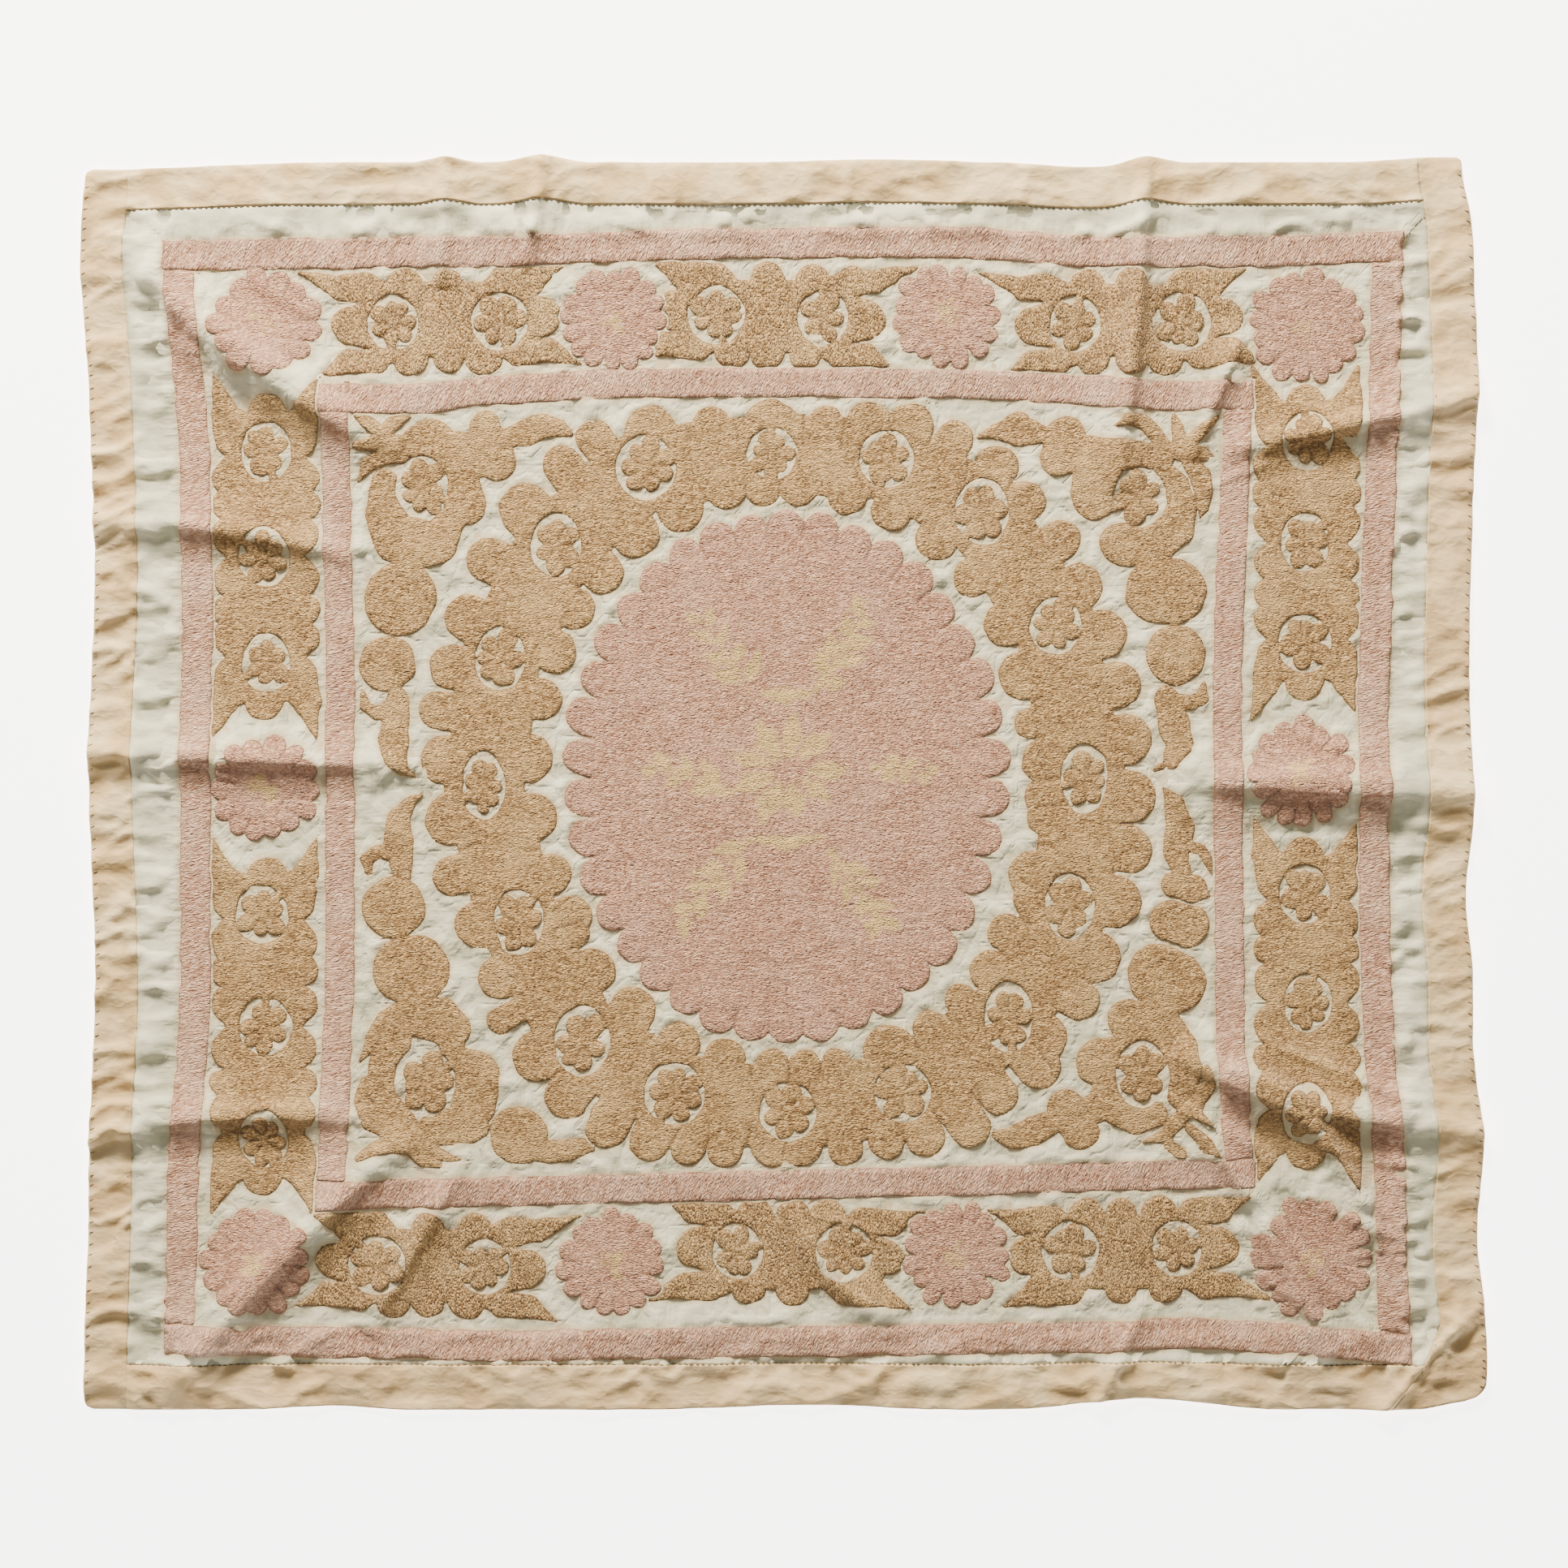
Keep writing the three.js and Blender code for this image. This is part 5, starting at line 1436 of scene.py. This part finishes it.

# %% [markdown]
# ## Laid and couched thread
# The thread lies in rows that are tied down by short slanting stitches, so from above it is a field of
# small rounded grains that are longer than they are wide, in rows that wander. A Voronoi texture on a
# stretched and warped place gives the grains. Its cell colours make some stitches lighter or darker, and
# painted shade darkens the gaps between grains, the lines between rows, the thread's edge and the hollows
# of the cloth. Wide noise fades the thread in patches.

# %% Thread material
def thread_material(name, light, middle, dark, turn, grain=(2.7, 1.5), cream=None, patchy=0.5):
    m = Material(name, Sheen_Weight=0.25, Sheen_Roughness=0.5, Specular_IOR_Level=0.3)
    turned = m.turned(turn)
    wide = {"Vector": m.vector("SCALE", turned, {"Scale": 1 / 16}), "Scale": 1.0, "Detail": 2.0}
    drift = m.add("ShaderNodeTexNoise", None, wide)[1]
    wander = m.vector("SCALE", m.vector("SUBTRACT", drift, (0.5, 0.5, 0.5)), {"Scale": 7.5})
    warped = m.vector("ADD", turned, wander)
    rows = m.vector("MULTIPLY", warped, (1 / grain[0], 1 / grain[1], 0.12))
    inputs = {"Vector": rows, "Scale": 1.0, "Randomness": 0.9}
    cells = m.add("ShaderNodeTexVoronoi", {"voronoi_dimensions": "3D", "feature": "F1"}, inputs)
    round_top = 1 - cells["Distance"].between(0.05, 0.85)
    own_shade = m.add("ShaderNodeSeparateColor", None, {"Color": cells["Color"]})[0]
    strand = m.noise(warped, 1.7, 2.0, 0.6, (8, 1, 1))
    broad = m.noise(m.place, 60, 3.0, 0.55)
    fine = m.noise(m.place, 7, 3.0, 0.6, (1.8, 1, 1))
    shade = (own_shade * 0.64 + strand * 0.5 + fine * 0.16 - 0.19).clamped()
    colour = m.mix(shade.between(0.2, 0.56), dark, middle)
    colour = m.mix(shade.between(0.52, 0.84), colour, light)
    colour = m.mix(broad.between(0.42, 0.72) * patchy, colour, light)
    if cream:
        kept = (fine * 0.7 + own_shade * 0.5).between(0.1, 0.45)
        colour = m.mix(m.attribute("fade") * kept, colour, cream)
    # Painted shade between the grains and along the thread's edge, where the raised thread is in shade.
    gaps = (1 - round_top) * 0.34 + (1 - m.attribute("depth").between(0.1, 2.0)) * 0.45
    colour = m.mix(gaps, colour, darker(dark, 0.42))
    # Painted shade along the lines between rows, which also dip the height below.
    worked = abs(m.noise(warped, 5.5, 2.0, 0.5, (5, 1, 1)) - 0.5)
    row_gap = 1 - worked.between(0.0, 0.05)
    colour = m.mix(row_gap * 0.26, colour, darker(dark, 0.5))
    # Painted shade in the hollows of the cloth.
    colour = m.mix(m.attribute("sunken").between(0.0, 1.0) * 0.35, colour, darker(dark, 0.6))
    height = round_top * 1.2 + strand * 1.0 + fine * 0.5 - row_gap * 0.7
    return m.finish(colour, 0.62 + strand * 0.25, height)


SAND = [linear(247, 208, 144), linear(209, 168, 109), linear(146, 109, 64)]
PINK = [linear(253, 211, 182), linear(231, 177, 143), linear(181, 130, 104)]
CREAM = linear(243, 208, 138)
sand_rows = thread_material("sand_thread_in_rows", *SAND, turn=4)
sand_columns = thread_material("sand_thread_in_columns", *SAND, turn=82)
pink_rows = thread_material("pink_thread_in_rows", *PINK, turn=5, cream=CREAM, patchy=0.3)
PINK_BAND = [linear(253, 217, 188), linear(234, 187, 155), linear(192, 141, 112)]
LONG_GRAIN = (4.6, 1.6)
band_across = thread_material("pink_thread_across_a_level_band", *PINK_BAND, turn=-62, grain=LONG_GRAIN)
band_upright = thread_material("pink_thread_across_an_upright_band", *PINK_BAND, turn=-12, grain=LONG_GRAIN)
for name in pink_fields:
    level = name.endswith(("_top", "_bottom"))
    finish = (band_across if level else band_upright) if "frame" in name else pink_rows
    pieces[name + "_thread"].data.materials.append(finish)
for name in sand_fields:
    pieces[name + "_thread"].data.materials.append(sand_columns if name in PAIR_BLOCKS else sand_rows)

# %% [markdown]
# ## The plain cloths
# The ground is a fine plain weave, pale with a slight green cast. The strips are a looser cream cloth
# whose pieced lengths differ at random from peach to tan, with painted shade that makes whole strips
# darker, least the top strip and most the right one. Both show slubs, which are thicker bits of yarn:
# noise that is stretched a lot along one yarn or the other. The hollows of both get painted shade. One
# function gives what they share.

# %% Cloth materials
def cloth_material(name, light, middle, dark, crumple, patch_size, hollows, tone=None):
    m = Material(name, Sheen_Weight=0.15, Sheen_Roughness=0.4, Specular_IOR_Level=0.25)
    warp = m.noise(m.place, 0.9, 2.0, 0.6, (1, 22, 1))
    weft = m.noise(m.place, 0.9, 2.0, 0.6, (22, 1, 1))
    weave = m.noise(m.place, 1.3, 2.0, 0.7)
    rumpled = m.noise(m.place, 18, 2.0, 0.5, (1.5, 1, 1))
    broad = m.noise(m.place, patch_size, 3.0, 0.6)
    yarns = warp * 0.5 + weft * 0.5
    colour = m.mix(broad.between(0.38, 0.62), dark, light)
    if tone:
        # The strips' tone: random for each pieced length, and painted shade for each whole strip.
        colour = m.mix(m.attribute("tone") * 0.5, colour, tone)
    colour = m.mix((yarns * 0.8 + weave * 0.3).between(0.4, 0.75) * 0.4, colour, middle)
    colour = m.mix(rumpled.between(0.62, 0.4) * 0.12, colour, darker(dark, 0.55))
    # Painted shade in the hollows of the cloth.
    colour = m.mix(m.attribute("sunken").between(-0.1, 0.9) * hollows, colour, darker(dark, 0.5))
    height = yarns * 0.35 + weave * 0.15 - abs(rumpled - 0.5) * crumple
    return m, colour, 0.78 + weave * 0.15, height, broad


STRIP_COLOURS = linear(250, 226, 178), linear(240, 212, 160), linear(222, 188, 132)
m, colour, roughness, height, _ = cloth_material(
    "cream_strip_cloth", *STRIP_COLOURS, crumple=4.2, patch_size=60, hollows=0.5, tone=linear(232, 196, 146),
)
strip_finish = m.finish(colour, roughness, height)
for name in JOINS:
    pieces[name + "_cloth"].data.materials.append(strip_finish)

# %% [markdown]
# ## Stains, painted shade and gathers on the ground
# Beside the thread the ground is stained by its dye, darkened by painted shade from the raised thread, and
# gathered by its pull. The mesh carries the way the pull runs, as the cosine and sine of twice its angle,
# so the fine gathers can follow it: four stretched noises, each turned by 45 degrees from the last, and
# each as strong as the pull is along it.

# %% Ground material
GROUND_COLOURS = linear(244, 240, 210), linear(234, 232, 204), linear(212, 212, 180)
PULLS = ((0, "pull_level", 1), (90, "pull_level", -1), (45, "pull_slanted", 1), (135, "pull_slanted", -1))
m, colour, roughness, height, broad = cloth_material(
    "pale_ground_cloth", *GROUND_COLOURS, crumple=2.2, patch_size=70, hollows=0.32,
)
# Near the thread the ground turns warmer and darker: partly a stain from the thread's dye, partly painted
# shade from the raised thread.
edge = m.attribute("near").between(-7, 0.5)
colour = m.mix(edge * (0.35 + broad * 0.6), colour, linear(206, 180, 136))
gathers = 0
for angle, key, sign in PULLS:
    along_pull = (m.attribute(key) * sign).clamped()
    gathers = m.noise(m.turned(-angle), 6.0, 1.5, 0.45, (4, 1, 1)) * along_pull + gathers
height = height + gathers * m.attribute("near").between(-26, -4) * 1.8
ground.data.materials.append(m.finish(colour, roughness, height))

# %% [markdown]
# ## The stitching thread
# The seams were sewn in a thin dark thread that has worn paler in places. It is too thin for grains of its
# own, so a small stretched noise stands for its twist.

# %% Stitching thread material
m = Material("dark_stitching_thread", Specular_IOR_Level=0.3)
twist = m.noise(m.place, 0.6, 2.0, 0.6, (3, 1, 1))
worn_dark = m.noise(m.place, 40, 2.0, 0.5)
thread_colour = m.mix(worn_dark.between(0.35, 0.65), linear(96, 76, 56), linear(136, 112, 82))
thread_colour = m.mix(twist * 0.4, thread_colour, linear(70, 58, 48))
stitching = m.finish(thread_colour, 0.6 + twist * 0.3, twist * 0.4)
for piece in (seam_stitches, edge_stitches, loose_thread):
    piece.data.materials.append(stitching)

# %% [markdown]
# ## Floor and light
# The cloth lies on a plain near-white floor, wide enough to fill a low view too. The light in the photograph
# is soft and comes from beyond the top edge, a little from the left and fairly low, so ridges are bright
# above and dark below. One large round area light gives that, and a pale world fills the shadows. The floor
# glows a little, as a lit backdrop does.

# %% Floor
FLOOR_REACH, FLOOR_LEVEL = 30.0, -0.0006
corners = [(x * FLOOR_REACH, y * FLOOR_REACH, FLOOR_LEVEL) for x, y in ((-1, -1), (1, -1), (1, 1), (-1, 1))]
floor_mesh = bpy.data.meshes.new("floor")
floor_mesh.from_pydata(corners, [], [(0, 1, 2, 3)])
floor = bpy.data.objects.new("floor", floor_mesh)
scene.collection.objects.link(floor)
m = Material("plain_floor", Specular_IOR_Level=0.1, Emission_Color=(1, 1, 1, 1), Emission_Strength=5.0)
faint = m.noise(m.place, 300, 2.0, 0.5)
floor_colour = m.mix(faint, (0.86, 0.86, 0.86), (0.88, 0.88, 0.88))
floor_mesh.materials.append(m.finish(floor_colour, 0.8 + faint * 0.1, faint * 0.01))
floor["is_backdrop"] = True

# %% Lights
TOWARDS_WINDOW = (-14, 30)
LIGHT_DISTANCE = 4.8
key = bpy.data.lights.new("window", "AREA")
key.shape, key.size, key.energy, key.color = "DISK", 1.2, 760, (1.0, 0.9, 0.76)
turn, climb = (math.radians(angle) for angle in TOWARDS_WINDOW)
towards = math.cos(climb) * math.sin(turn), math.cos(climb) * math.cos(turn), math.sin(climb)
key_object = bpy.data.objects.new("window", key)
key_object.location = [LIGHT_DISTANCE * c for c in towards]
key_object.rotation_euler = (-key_object.location).to_track_quat("-Z", "Y").to_euler()
scene.collection.objects.link(key_object)
world = bpy.data.worlds.new("room")
world.use_nodes = True
background = world.node_tree.nodes["Background"]
background.inputs["Color"].default_value = (1.0, 0.95, 0.88, 1)
background.inputs["Strength"].default_value = 0.36
scene.world = world
print("lights:", key.energy, background.inputs["Strength"].default_value)

# %% Sizes and finish
low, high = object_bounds()
print("all pieces:", len(pieces), "with", sum(triangles(piece) for piece in pieces.values()), "triangles")
